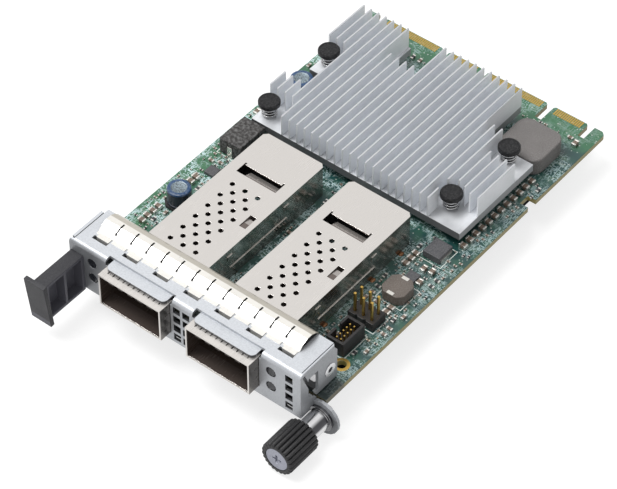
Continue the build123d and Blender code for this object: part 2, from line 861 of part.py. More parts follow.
def push_pin(x, y):
    """Pin with a round cap, a shank through the base and board, and a barb below."""
    under = pin_cap_top - pin_cap_thickness
    cap = rod_z(pin_cap_radius, x, y, span(under, pin_cap_top), fine_flats)
    cap += rod_z(pin_shank_radius, x, y, span(-board_thickness, under), small_flats)
    foot = span(-board_thickness - pin_barb_length, -board_thickness)
    barb = rod_z(pin_barb_radius, x, y, foot, small_flats)
    return cap + chamfer(barb.edges().group_by(Axis.Z)[0], pin_barb_taper)


def coil(radius, wire, height, turns):
    """A spring wound along Z from its origin, in straight chords."""
    steps = turns * tiny_flats
    points = []
    for step in range(steps + 1):
        angle = 2 * math.pi * step / tiny_flats
        rise = wire / 2 + (height - wire) * step / steps
        points.append((radius * math.cos(angle), radius * math.sin(angle), rise))
    path = Polyline(*points)
    section = Plane(origin=path @ 0, z_dir=path % 0) * Rectangle(wire, wire)
    return sweep(section, path=path, transition=Transition.RIGHT)


def push_pin_springs():
    gap = spring_gap
    height = pin_cap_top - pin_cap_thickness - sink_base_top - 2 * gap
    spring = coil(pin_spring_radius, pin_spring_wire, height, pin_spring_turns)
    return Compound(children=[Pos(x, y, sink_base_top + gap) * spring for x, y in pin_places])


def cut_brick(place, size, corner):
    """A brick on the board with its four upright corners cut."""
    outline = Rectangle(size[0], size[1])
    outline = chamfer(outline.vertices(), corner)
    return Pos(*place, 0) * extrude(outline, amount=size[2])


def inductor_tabs():
    """Tinned ends of the small and the rear inductor."""
    x, y = small_inductor_place
    reach = (small_inductor_size[1] - inductor_tab[1]) / 2
    top = small_inductor_size[2]
    tabs = [brick(x, y - reach, inductor_tab, top), brick(x, y + reach, inductor_tab, top)]
    x, y = rear_inductor_place
    reach = (rear_inductor_size[1] + rear_inductor_tab[1]) / 2
    tabs.append(brick(x, y - reach, rear_inductor_tab))
    return Compound(children=tabs)


def power_diode():
    """Moulded block between two wrapped leads, kept as one piece."""
    body = brick(*diode_place, diode_size)
    lead = (diode_size[0] + 2 * diode_lead, diode_size[1] * diode_lead_share, diode_size[2] / 2)
    return body + brick(*diode_place, lead)


def can_capacitor(x, y):
    """Round can on a square base with two cut corners."""
    base = Rectangle(can_base_side, can_base_side)
    base = chamfer(base.vertices().group_by(Axis.Y)[0], can_base_corner)
    can = Pos(x, y, 0) * extrude(base, amount=can_base_height)
    return can + rod_z(can_radius, x, y, span(can_base_height, can_top), fine_flats)


def chip_capacitors():
    """Ceramic capacitors beside the heat sink and along both board edges."""
    edge = board_width / 2
    places = [(edge_row_x, edge_row_start + index * edge_row_pitch) for index in range(edge_row_count)]
    places += [(left_row_x, left_row_start + index * left_row_pitch) for index in range(left_row_count)]
    places += [(inset - edge, y) for inset, y in left_chips]
    places += [(right_strip + offset, y) for offset, y in strip_chips]
    places += [(cage_gap_middle + offset, y) for offset, y in gap_chips]
    places += [(x, board_depth - inset) for x, inset in rear_chips]
    turned = [(right_strip + offset, y) for offset, y in turned_strip_chips]
    turned += [(inset - edge, y) for inset, y in turned_left_chips]
    turned.append((turned_rear_chip[0], board_depth - turned_rear_chip[1]))
    length, width, height = chip_size
    chips = [brick(x, y, chip_size) for x, y in places]
    chips += [brick(x, y, (width, length, height)) for x, y in turned]
    return Compound(children=chips)


def grid(place, counts, pitch):
    """Centres of a block of like parts."""
    x0 = place[0] - (counts[0] - 1) * pitch[0] / 2
    y0 = place[1] - (counts[1] - 1) * pitch[1] / 2
    return [(x0 + i * pitch[0], y0 + j * pitch[1]) for i in range(counts[0]) for j in range(counts[1])]


def post_places():
    return grid(post_place, post_grid, (post_pitch, post_pitch))


def post_header():
    """Moulded strip of the tall pin header."""
    width = (post_grid[0] - 1) * post_pitch + 2 * post_margin
    depth = (post_grid[1] - 1) * post_pitch + 2 * post_margin
    strip = brick(*post_place, (width, depth, post_block_height))
    side = post_margin / 2
    notch = Rot(0, 0, 45) * Box(side, side, 2 * post_block_height)
    for x, _ in grid(post_place, (post_grid[0] - 1, 1), (post_pitch, post_pitch)):
        for y in (post_place[1] - depth / 2, post_place[1] + depth / 2):
            strip -= Pos(x, y, post_block_height) * notch
    return strip - [brick(x, y, (post_side, post_side, post_block_height)) for x, y in post_places()]


def header_posts():
    size = (post_side, post_side, post_top - post_tail)
    return Compound(children=[brick(x, y, size, post_tail) for x, y in post_places()])


def socket_places():
    return grid(socket_place, socket_grid, (socket_pitch, socket_pitch))


def box_header():
    """Open-topped shell of the fine pin header, with a key gap in one long wall."""
    width, depth, height = socket_size
    shell = brick(*socket_place, socket_size)
    inner = (width - 2 * socket_wall, depth - 2 * socket_wall, height - socket_floor)
    shell -= brick(*socket_place, inner, socket_floor)
    gap = (socket_wall, socket_key, height - socket_floor)
    shell -= brick(socket_place[0] - (width - socket_wall) / 2, socket_place[1], gap, socket_floor)
    return shell - [brick(x, y, (socket_pin_side, socket_pin_side, socket_floor)) for x, y in socket_places()]


def box_header_pins():
    size = (socket_pin_side, socket_pin_side, socket_pin_top)
    return Compound(children=[brick(x, y, size) for x, y in socket_places()])


def insulator_sheet():
    """Thin sheet that shields the underside, narrower between the faceplate's walls."""
    middle = (insulator_neck_end + insulator_rear) / 2
    outline = Rectangle(2 * insulator_half_width, insulator_rear - insulator_neck_end)
    outline = Pos(0, middle, 0) * chamfer(outline.vertices(), insulator_corner)
    neck = Rectangle(2 * insulator_neck_half_width, insulator_neck_end + insulator_corner - insulator_front)
    neck_middle = (insulator_front + insulator_neck_end + insulator_corner) / 2
    outline += Pos(0, neck_middle, 0) * neck
    return Pos(0, 0, insulator_top - insulator_thickness) * extrude(outline, amount=insulator_thickness)


def insulator_strips():
    """Adhesive strips that hold the sheet off the board."""
    size = (strip_width, strip_length, -board_thickness - insulator_top)
    reach = insulator_half_width - strip_inset
    places = [(x, y) for y in strip_rows for x in (-reach, reach)]
    return Compound(children=[brick(x, y, size, insulator_top) for x, y in places])


def faceplate_screws():
    """Screws from below through the board into the faceplate's feet."""
    screws = []
    for x, y in mount_feet():
        screw = rod_z(foot_screw_radius, x, y, span(-board_thickness, sheet), tiny_flats)
        head = span(-board_thickness - foot_screw_head, -board_thickness)
        screws.append(screw + rod_z(foot_screw_head_radius, x, y, head, small_flats))
    return Compound(children=screws)


def screw_rod(radius, y, flats=None):
    """A round bar on the thumbscrew's axis."""
    return rod_y(radius, screw_x, screw_z, y, flats)


def thumbscrew_barrel():
    """Sleeve clinched into the ear, with a pocket for the spring and a web for the thread."""
    ear_rear = ear_front + sheet
    web_rear = barrel_web_front + barrel_web
    barrel = screw_rod(barrel_radius, span(barrel_front, ear_front))
    barrel += screw_rod(barrel_collar_radius, span(ear_front - barrel_collar, ear_front), fine_flats)
    barrel += screw_rod(barrel_spigot_radius, span(ear_front, ear_rear), small_flats)
    barrel -= screw_rod(barrel_pocket_radius, span(barrel_front, barrel_web_front), small_flats)
    barrel -= screw_rod(screw_shank_radius + shank_clearance, span(barrel_web_front, web_rear), small_flats)
    return barrel - screw_rod(thread_radius + shank_clearance, span(web_rear, ear_rear), small_flats)


def knob_grip():
    """A bar with ridges all round, standing on the origin."""
    valley = knob_radius - flute_depth
    step = 2 * math.pi / flute_count
    points = []
    for index in range(flute_count):
        for share, radius in ((-ridge_share / 2, knob_radius), (ridge_share / 2, knob_radius), (0.5, valley)):
            angle = (index + share) * step
            points.append((radius * math.cos(angle), radius * math.sin(angle)))
    return extrude(make_face(Polyline(*points, close=True)), amount=knob_rear - knob_front)


def thumbscrew_knob():
    """Grip with ridges along its whole length, which slides over the barrel."""
    knob = Pos(screw_x, knob_front, screw_z) * Rot(-90, 0, 0) * knob_grip()
    head_rear = knob_front + head_recess + head_thickness
    knob -= screw_rod(head_radius, span(knob_front, head_rear), fine_flats)
    knob -= screw_rod(screw_shank_radius, span(head_rear, knob_web_rear), small_flats)
    return knob - screw_rod(barrel_radius + knob_clearance, span(knob_web_rear, knob_rear), fine_flats)


def thumbscrew_screw():
    """Screw with a cross recess, a catch that keeps it in the barrel and a threaded tip."""
    front = knob_front + head_recess
    head = screw_rod(head_radius, span(front, front + head_thickness), fine_flats)
    slot = Box(recess_length, 2 * recess_depth, recess_width)
    centre = Pos(screw_x, front, screw_z)
    head -= centre * slot
    head -= centre * Rot(0, 90, 0) * slot
    head += screw_rod(screw_shank_radius, span(front + head_thickness, catch_front), small_flats)
    head += screw_rod(thread_radius, span(catch_front, thread_front), small_flats)
    tip = screw_rod(thread_radius, span(thread_front, thread_tip))
    return head + chamfer(tip.edges().group_by(Axis.Y)[-1], thread_chamfer)


def thumbscrew_spring():
    """Spring between the barrel's web and the knob."""
    length = barrel_web_front - knob_web_rear - 2 * spring_gap
    spring = coil(knob_spring_radius, knob_spring_wire, length, knob_spring_turns)
    return Pos(screw_x, knob_web_rear + spring_gap, screw_z) * Rot(-90, 0, 0) * spring


def all_parts():
    """Every sub-part under the name of its file."""
    made = {
        "circuit_board": circuit_board(),
        "edge_contacts": edge_contacts(),
        "faceplate": faceplate(),
        "emi_finger_strip": emi_finger_strip(),
        "pull_tab": pull_tab(),
        "side_nut": side_nut(),
        "light_pipes": light_pipes(),
        "status_lamps": status_lamps(),
        "heat_sink": heat_sink(),
        "processor": processor(),
        "thermal_pad": thermal_pad(),
        "push_pins": Compound(children=[push_pin(x, y) for x, y in pin_places]),
        "push_pin_springs": push_pin_springs(),
        "large_inductor": cut_brick(large_inductor_place, large_inductor_size, large_inductor_corner),
        "rear_inductor": brick(*rear_inductor_place, rear_inductor_size),
        "small_inductor": cut_brick(small_inductor_place, small_inductor_size, small_inductor_corner),
        "inductor_tabs": inductor_tabs(),
        "power_diode": power_diode(),
        "can_capacitors": Compound(children=[can_capacitor(x, y) for x, y in can_places]),
        "chip_capacitors": chip_capacitors(),
        "regulator_chips": Compound(children=[brick(x, y, regulator_size) for x, y in regulator_places]),
        "post_header": post_header(),
        "header_posts": header_posts(),
        "box_header": box_header(),
        "box_header_pins": box_header_pins(),
        "insulator_sheet": insulator_sheet(),
        "insulator_strips": insulator_strips(),
        "faceplate_screws": faceplate_screws(),
        "thumbscrew_barrel": thumbscrew_barrel(),
        "thumbscrew_knob": thumbscrew_knob(),
        "thumbscrew_screw": thumbscrew_screw(),
        "thumbscrew_spring": thumbscrew_spring(),
    }
    for side, left in zip(("left", "right"), cages()):
        made[f"cage_{side}"] = cage(left)
        made[f"cage_gasket_{side}"] = cage_gasket(left)
        made[f"receptacle_{side}"] = receptacle(left)
    return made


os.makedirs("parts", exist_ok=True)
for name, part in all_parts().items():
    export_step(part, f"parts/{name}.step")
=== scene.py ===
import math
import random

import bmesh
import bpy
from mathutils import Matrix, Vector


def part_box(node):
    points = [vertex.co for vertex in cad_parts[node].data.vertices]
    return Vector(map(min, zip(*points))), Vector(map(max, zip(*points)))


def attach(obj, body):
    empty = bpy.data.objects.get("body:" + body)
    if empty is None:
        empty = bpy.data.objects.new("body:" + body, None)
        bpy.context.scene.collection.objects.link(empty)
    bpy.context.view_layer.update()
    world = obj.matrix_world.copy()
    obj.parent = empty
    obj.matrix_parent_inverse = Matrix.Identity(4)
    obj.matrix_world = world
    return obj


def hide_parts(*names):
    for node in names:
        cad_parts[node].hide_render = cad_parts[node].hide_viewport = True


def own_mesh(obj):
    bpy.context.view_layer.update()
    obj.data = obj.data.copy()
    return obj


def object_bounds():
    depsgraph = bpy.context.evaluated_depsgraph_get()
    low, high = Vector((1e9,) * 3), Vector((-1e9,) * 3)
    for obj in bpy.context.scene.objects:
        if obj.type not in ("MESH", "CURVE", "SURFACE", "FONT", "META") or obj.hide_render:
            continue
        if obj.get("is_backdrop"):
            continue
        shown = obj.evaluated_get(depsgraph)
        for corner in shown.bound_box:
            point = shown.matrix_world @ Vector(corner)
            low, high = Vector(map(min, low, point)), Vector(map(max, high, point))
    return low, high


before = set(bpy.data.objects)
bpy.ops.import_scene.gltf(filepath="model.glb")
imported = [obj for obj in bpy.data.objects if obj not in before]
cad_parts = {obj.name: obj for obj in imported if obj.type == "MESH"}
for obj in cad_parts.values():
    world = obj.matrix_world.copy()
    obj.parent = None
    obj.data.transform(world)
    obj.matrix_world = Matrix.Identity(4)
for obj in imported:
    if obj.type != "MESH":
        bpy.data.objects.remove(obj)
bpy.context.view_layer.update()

bl_info = {
    "name": "Network adapter card",
    "version": (1, 0, 0),
    "blender": (4, 5, 0),
    "location": "View3D > Sidebar > Card",
    "description": "Dresses the packed adapter card in its finishes and fine pieces",
    "category": "Object",
}

mm = 0.001
fixed_parts = "card"
screw_parts = "thumbscrew"
spring_parts = "spring"

# In millimetres, with Z from the board's top face
print_height = 0.03
cage_tab_reach = 0.2


class BoardLook(bpy.types.PropertyGroup):
    """Colours of the board and the number of its smallest chips"""
    mask: bpy.props.FloatVectorProperty(
        name="Solder mask", description="Colour of the mask over the middle of the board",
        subtype="COLOR", size=3, min=0, max=1, default=(0.010, 0.062, 0.058))
    mask_bright: bpy.props.FloatVectorProperty(
        name="Bright mask", description="Colour of the mask over copper near the left edge and the tail",
        subtype="COLOR", size=3, min=0, max=1, default=(0.028, 0.13, 0.055))
    marks: bpy.props.FloatVectorProperty(
        name="Marks", description="Colour of the printed strokes",
        subtype="COLOR", size=3, min=0, max=1, default=(0.52, 0.68, 0.69))
    laminate: bpy.props.FloatVectorProperty(
        name="Laminate", description="Colour of the bare cut edge",
        subtype="COLOR", size=3, min=0, max=1, default=(0.32, 0.27, 0.08))
    gold: bpy.props.FloatVectorProperty(
        name="Gold", description="Colour of gold plating",
        subtype="COLOR", size=3, min=0, max=1, default=(0.56, 0.37, 0.10))
    tiny_chip_count: bpy.props.IntProperty(
        name="Tiny chips", description="Number of the smallest chips scattered on the open board",
        min=0, max=900, default=330)


class MetalLook(bpy.types.PropertyGroup):
    """Colours of the metals"""
    cage: bpy.props.FloatVectorProperty(
        name="Cages", description="Colour of the satin module cages",
        subtype="COLOR", size=3, min=0, max=1, default=(0.70, 0.67, 0.64))
    faceplate: bpy.props.FloatVectorProperty(
        name="Faceplate", description="Colour of the folded faceplate",
        subtype="COLOR", size=3, min=0, max=1, default=(0.56, 0.58, 0.61))
    fingers: bpy.props.FloatVectorProperty(
        name="Finger strip", description="Colour of the sprung fingers",
        subtype="COLOR", size=3, min=0, max=1, default=(0.84, 0.82, 0.78))
    sink: bpy.props.FloatVectorProperty(
        name="Heat sink", description="Colour of the finned heat sink",
        subtype="COLOR", size=3, min=0, max=1, default=(0.84, 0.86, 0.89))
    tin: bpy.props.FloatVectorProperty(
        name="Tin", description="Colour of tinned leads and chip ends",
        subtype="COLOR", size=3, min=0, max=1, default=(0.72, 0.70, 0.66))
    steel: bpy.props.FloatVectorProperty(
        name="Steel", description="Colour of the screws, the barrel and the springs",
        subtype="COLOR", size=3, min=0, max=1, default=(0.66, 0.66, 0.67))


class MouldedLook(bpy.types.PropertyGroup):
    """Colours of plastics, packages, ferrite and ceramic"""
    black: bpy.props.FloatVectorProperty(
        name="Black plastic", description="Colour of the headers and receptacles",
        subtype="COLOR", size=3, min=0, max=1, default=(0.009, 0.0075, 0.008))
    knob: bpy.props.FloatVectorProperty(
        name="Knob", description="Colour of the knob",
        subtype="COLOR", size=3, min=0, max=1, default=(0.010, 0.010, 0.011))
    pull_tab: bpy.props.FloatVectorProperty(
        name="Pull tab", description="Colour of the pull tab",
        subtype="COLOR", size=3, min=0, max=1, default=(0.020, 0.020, 0.024))
    package: bpy.props.FloatVectorProperty(
        name="Chip package", description="Colour of moulded chip packages",
        subtype="COLOR", size=3, min=0, max=1, default=(0.045, 0.045, 0.05))
    pin_cap: bpy.props.FloatVectorProperty(
        name="Push pin", description="Colour of the push pins",
        subtype="COLOR", size=3, min=0, max=1, default=(0.009, 0.009, 0.010))
    ferrite: bpy.props.FloatVectorProperty(
        name="Ferrite", description="Colour of the pressed powder inductors",
        subtype="COLOR", size=3, min=0, max=1, default=(0.108, 0.098, 0.093))
    ceramic: bpy.props.FloatVectorProperty(
        name="Ceramic", description="Colour of the chip capacitors",
        subtype="COLOR", size=3, min=0, max=1, default=(0.15, 0.105, 0.075))


class StageLook(bpy.types.PropertyGroup):
    """Light and floor of the studio"""
    sky: bpy.props.FloatProperty(
        name="Sky", description="Strength of the light from all round",
        min=0, max=4, default=0.5)
    lamp: bpy.props.FloatProperty(
        name="Lamp", description="Power of the large soft lamp",
        min=0, max=200, subtype="POWER", unit="POWER", default=7.0)
    floor_drop: bpy.props.FloatProperty(
        name="Floor gap", description="Distance from the lowest point to the floor",
        min=0, max=0.01, subtype="DISTANCE", unit="LENGTH", default=0.0)


class PieceSizes(bpy.types.PropertyGroup):
    """Sizes of the pieces that are only in the visual model"""
    print_width: bpy.props.FloatProperty(
        name="Print width", description="Width of the printed outlines",
        min=0.0001, max=0.001, subtype="DISTANCE", unit="LENGTH", default=0.00022)
    chip_end_share: bpy.props.FloatProperty(
        name="Chip ends", description="Share of a chip's length that each tinned end covers",
        min=0.1, max=0.4, subtype="FACTOR", default=0.24)
    can_radius: bpy.props.FloatProperty(
        name="Can radius", description="Radius of the can capacitors",
        min=0.002, max=0.0032, subtype="DISTANCE", unit="LENGTH", default=0.0031)
    mouth_tab_count: bpy.props.IntProperty(
        name="Mouth tabs", description="Number of tabs under the top lip of a cage's mouth",
        min=0, max=5, default=5)
    mouth_tab_pitch: bpy.props.FloatProperty(
        name="Mouth tab pitch", description="Distance from tab to tab at a cage's mouth",
        min=0.002, max=0.0035, subtype="DISTANCE", unit="LENGTH", default=0.003)
    contact_count: bpy.props.IntProperty(
        name="Contacts", description="Number of contact springs in a receptacle's row",
        min=1, max=19, default=19)
    contact_pitch: bpy.props.FloatProperty(
        name="Contact pitch", description="Distance from contact to contact in a receptacle",
        min=0.0004, max=0.0008, subtype="DISTANCE", unit="LENGTH", default=0.0008)
    pin_wire: bpy.props.FloatProperty(
        name="Push pin wire", description="Thickness of the wire of the push pins' springs",
        min=0.0001, max=0.0006, subtype="DISTANCE", unit="LENGTH", default=0.00038)
    pin_turns: bpy.props.FloatProperty(
        name="Push pin turns", description="Turns of the push pins' springs", min=2, max=8, default=3.8)
    knob_radius: bpy.props.FloatProperty(
        name="Knob radius", description="Radius of the knob over its ridges",
        min=0.004, max=0.0046, subtype="DISTANCE", unit="LENGTH", default=0.0046)
    ridge_count: bpy.props.IntProperty(
        name="Knob ridges", description="Number of ridges round the knob", min=8, max=40, default=22)
    ridge_depth: bpy.props.FloatProperty(
        name="Ridge depth", description="Depth of the valleys between the knob's ridges",
        min=0.0, max=0.001, subtype="DISTANCE", unit="LENGTH", default=0.00068)
    screw_wire: bpy.props.FloatProperty(
        name="Screw spring wire", description="Thickness of the wire of the thumbscrew's spring",
        min=0.0001, max=0.0006, subtype="DISTANCE", unit="LENGTH", default=0.0004)
    screw_turns: bpy.props.FloatProperty(
        name="Screw spring turns", description="Turns of the thumbscrew's spring", min=2, max=10, default=6)


# Mesh helpers


def make_piece(name, mesh_builder, material, body=fixed_parts, stands_for=(), smooth=35):
    """Turns a filled bmesh into an object that rides on a body."""
    mesh = bpy.data.meshes.new(name)
    mesh_builder.normal_update()
    mesh_builder.to_mesh(mesh)
    mesh_builder.free()
    mesh.shade_smooth()
    mesh.set_sharp_from_angle(angle=math.radians(smooth))
    piece = bpy.data.objects.new(name, mesh)
    bpy.context.scene.collection.objects.link(piece)
    for finish in material if isinstance(material, (list, tuple)) else [material]:
        mesh.materials.append(finish)
    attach(piece, body)
    if stands_for:
        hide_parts(*stands_for)
    return piece


def round_edges(piece, width, segments=2, weld=False, flatten=True):
    """Rounds the sharp edges of a piece, so that they catch the light."""
    if weld:
        join = piece.modifiers.new("join_faces", "WELD")
        join.merge_threshold = 1e-6
    if weld and flatten:
        flat = piece.modifiers.new("flat_faces", "DECIMATE")
        flat.decimate_type = "DISSOLVE"
        flat.angle_limit = math.radians(2)
    bevel = piece.modifiers.new("round_edges", "BEVEL")
    bevel.width = width * mm
    bevel.segments = segments
    bevel.limit_method = "ANGLE"
    bevel.angle_limit = math.radians(35)
    bevel.miter_outer = "MITER_ARC"
    normals = piece.modifiers.new("even_light", "WEIGHTED_NORMAL")
    normals.keep_sharp = True


def dress(node, material, edge=0.0, segments=1, flatten=True):
    """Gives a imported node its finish, and a fine round on its edges."""
    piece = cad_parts[node]
    piece.data.materials.clear()
    piece.data.materials.append(material)
    if edge:
        round_edges(piece, edge, segments, True, flatten)


def solids_of(node):
    """The boxes of a node's separate solids, as pairs of corners in millimetres."""
    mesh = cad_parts[node].data
    keys = [tuple(round(c / mm, 3) for c in v.co) for v in mesh.vertices]
    parent = {key: key for key in keys}

    def root(key):
        while parent[key] != key:
            parent[key] = parent[parent[key]]
            key = parent[key]
        return key

    for face in mesh.polygons:
        first = root(keys[face.vertices[0]])
        for index in face.vertices[1:]:
            parent[root(keys[index])] = first
    groups = {}
    for key in parent:
        groups.setdefault(root(key), []).append(key)
    boxes = []
    for points in groups.values():
        low = Vector(min(p[i] for p in points) for i in range(3))
        high = Vector(max(p[i] for p in points) for i in range(3))
        boxes.append((low, high))
    return sorted(boxes, key=lambda b: (round(b[0].x, 2), round(b[0].y, 2), round(b[0].z, 2)))


def box_mm(node):
    """A node's box in millimetres."""
    low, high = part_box(node)
    return low / mm, high / mm


def add_block(builder, low, high, finish=0):
    """A block between two corners in millimetres."""
    corners = [builder.verts.new((x * mm, y * mm, z * mm))
               for z in (low[2], high[2]) for y in (low[1], high[1]) for x in (low[0], high[0])]
    for a, b, c, d in ((0, 2, 3, 1), (4, 5, 7, 6), (0, 1, 5, 4), (2, 6, 7, 3), (0, 4, 6, 2), (1, 3, 7, 5)):
        face = builder.faces.new([corners[a], corners[b], corners[c], corners[d]])
        face.material_index = finish


def place_at(x, y, z=0):
    """A frame at a place in millimetres, with its axes along the part's."""
    return Matrix.Translation(Vector((x, y, z)) * mm)


def middle_of(low, high):
    """X and Y of the middle of a box."""
    return (low.x + high.x) / 2, (low.y + high.y) / 2


def add_ring(builder, frame_at, radii, height):
    """Points at equal angles round frame_at's Z, one for each radius."""
    ring = []
    for step, radius in enumerate(radii):
        angle = 2 * math.pi * step / len(radii)
        point = Vector((radius * math.cos(angle), radius * math.sin(angle), height)) * mm
        ring.append(builder.verts.new(frame_at @ point))
    return ring


def join_rings(builder, rings, finish=0):
    """Faces from each ring to the next; a ring may be a single point."""
    for lower, upper in zip(rings, rings[1:]):
        steps = max(len(lower), len(upper))
        for a in range(steps):
            b = (a + 1) % steps
            if len(lower) == 1:
                loop = [lower[0], upper[b], upper[a]]
            elif len(upper) == 1:
                loop = [lower[a], lower[b], upper[0]]
            else:
                loop = [lower[a], lower[b], upper[b], upper[a]]
            builder.faces.new(loop).material_index = finish


def add_turned(builder, frame_at, profile, steps=48, finish=0):
    """A turned form: profile rows are radius and height in millimetres along frame_at's Z."""
    rings = [add_ring(builder, frame_at, [radius] * steps if radius else [0], height)
             for radius, height in profile]
    join_rings(builder, rings, finish)


def add_prism(builder, outline, low, high, finish=0):
    """A prism from an outline in X and Y in millimetres."""
    bottom = [builder.verts.new((x * mm, y * mm, low * mm)) for x, y in outline]
    top = [builder.verts.new((x * mm, y * mm, high * mm)) for x, y in outline]
    join_rings(builder, [bottom, top], finish)
    builder.faces.new(top).material_index = finish
    builder.faces.new(list(reversed(bottom))).material_index = finish


def rounded_outline(low, high, radius, steps=6):
    """A rectangle with round corners, as points in X and Y."""
    points = []
    corners = ((high[0] - radius, high[1] - radius, 0), (low[0] + radius, high[1] - radius, 90),
               (low[0] + radius, low[1] + radius, 180), (high[0] - radius, low[1] + radius, 270))
    for x, y, start in corners:
        for step in range(steps + 1):
            angle = math.radians(start + 90 * step / steps)
            points.append((x + radius * math.cos(angle), y + radius * math.sin(angle)))
    return points


def add_coil(builder, frame_at, radius, wire, height, turns, sides=8, per_turn=28):
    """A wound wire along frame_at's Z with closed ends, from height 0."""
    steps = int(turns * per_turn)
    rings = []
    for step in range(steps + 1):
        share = step / steps
        angle = 2 * math.pi * turns * share
        rise = wire / 2 + (height - wire) * share
        centre = Vector((radius * math.cos(angle), radius * math.sin(angle), rise))
        outward = Vector((math.cos(angle), math.sin(angle), 0))
        ring = []
        for side in range(sides):
            turn = 2 * math.pi * side / sides
            offset = outward * math.cos(turn) * wire / 2 + Vector((0, 0, math.sin(turn) * wire / 2))
            ring.append(builder.verts.new(frame_at @ ((centre + offset) * mm)))
        rings.append(ring)
    join_rings(builder, rings)
    builder.faces.new(list(reversed(rings[0])))
    builder.faces.new(rings[-1])


# Shader groups


def new_group(name, inputs, outputs):
    """An empty group with its sockets: the group, its input node and its output node."""
    group = bpy.data.node_groups.new(name, "ShaderNodeTree")
    for label, kind, value in inputs:
        socket = group.interface.new_socket(name=label, in_out="INPUT", socket_type=kind)
        socket.default_value = value
    for label, kind in outputs:
        group.interface.new_socket(name=label, in_out="OUTPUT", socket_type=kind)
    return group, group.nodes.new("NodeGroupInput"), group.nodes.new("NodeGroupOutput")


def place_coordinates(tree, scale=(1, 1, 1)):
    """Object coordinates in millimetres, stretched by a scale on each axis."""
    coordinates = tree.nodes.new("ShaderNodeTexCoord")
    mapping = tree.nodes.new("ShaderNodeMapping")
    mapping.inputs["Scale"].default_value = [s / mm for s in scale]
    tree.links.new(coordinates.outputs["Object"], mapping.inputs["Vector"])
    return mapping.outputs["Vector"]


def place_noise(tree, vector, scale, detail=2.0, roughness=0.5):
    """A noise from nought to one; its scale is a socket or a number."""
    noise = tree.nodes.new("ShaderNodeTexNoise")
    noise.inputs["Detail"].default_value = detail
    noise.inputs["Roughness"].default_value = roughness
    tree.links.new(vector, noise.inputs["Vector"])
    if isinstance(scale, bpy.types.NodeSocket):
        tree.links.new(scale, noise.inputs["Scale"])
    else:
        noise.inputs["Scale"].default_value = scale
    return noise.outputs["Fac"]


def place_math(tree, operation, first, second=None, clamp=False):
    """A sum on one or two values; each is a socket or a number."""
    node = tree.nodes.new("ShaderNodeMath")
    node.operation = operation
    node.use_clamp = clamp
    for index, value in enumerate((first, second)):
        if isinstance(value, bpy.types.NodeSocket):
            tree.links.new(value, node.inputs[index])
        elif value is not None:
            node.inputs[index].default_value = value
    return node.outputs["Value"]


def place_vector_math(tree, operation, first, second=None):
    """A sum on one or two vectors; the second is a socket or three numbers."""
    node = tree.nodes.new("ShaderNodeVectorMath")
    node.operation = operation
    tree.links.new(first, node.inputs[0])
    if isinstance(second, bpy.types.NodeSocket):
        tree.links.new(second, node.inputs[1])
    elif second is not None:
        node.inputs[1].default_value = second
    return node.outputs["Vector"]


def place_mix(tree, factor, first, second):
    """A colour mix; each end is a socket or a colour."""
    node = tree.nodes.new("ShaderNodeMix")
    node.data_type = "RGBA"
    factor_input, first_input, second_input = node.inputs[0], node.inputs[6], node.inputs[7]
    for socket, value in ((factor_input, factor), (first_input, first), (second_input, second)):
        if isinstance(value, bpy.types.NodeSocket):
            tree.links.new(value, socket)
        else:
            socket.default_value = value if socket == factor_input else (*value[:3], 1)
    return node.outputs[2]


def place_parts(tree, vector):
    """The X, Y and Z of a vector."""
    node = tree.nodes.new("ShaderNodeSeparateXYZ")
    tree.links.new(vector, node.inputs["Vector"])
    return node.outputs["X"], node.outputs["Y"], node.outputs["Z"]


def place_facing(tree):
    """The X, Y and Z of the surface's normal."""
    return place_parts(tree, tree.nodes.new("ShaderNodeNewGeometry").outputs["Normal"])


def place_chain(tree, operation, *values):
    """One operation over several values in turn."""
    result = values[0]
    for value in values[1:]:
        result = place_math(tree, operation, result, value)
    return result


def place_product(tree, *values):
    """All values multiplied: a mask where every one of them is."""
    return place_chain(tree, "MULTIPLY", *values)


def place_most(tree, *values):
    """The largest of the values: a mask where any of them is."""
    return place_chain(tree, "MAXIMUM", *values)


def place_above(tree, value, bound):
    """One where a value is over a bound."""
    return place_math(tree, "GREATER_THAN", value, bound)


def place_below(tree, value, bound):
    """One where a value is under a bound."""
    return place_math(tree, "LESS_THAN", value, bound)


def place_between(tree, value, low, high):
    """One where a value lies between two bounds."""
    return place_product(tree, place_above(tree, value, low), place_below(tree, value, high))


def place_size(tree, value):
    """A value without its sign."""
    return place_math(tree, "ABSOLUTE", value)


def place_range(tree, value, low, high, to_low=0.0, to_high=1.0):
    """A value taken from one range to another, and held within it."""
    node = tree.nodes.new("ShaderNodeMapRange")
    node.clamp = True
    tree.links.new(value, node.inputs["Value"])
    node.inputs["From Min"].default_value = low
    node.inputs["From Max"].default_value = high
    node.inputs["To Min"].default_value = to_low
    node.inputs["To Max"].default_value = to_high
    return node.outputs["Result"]


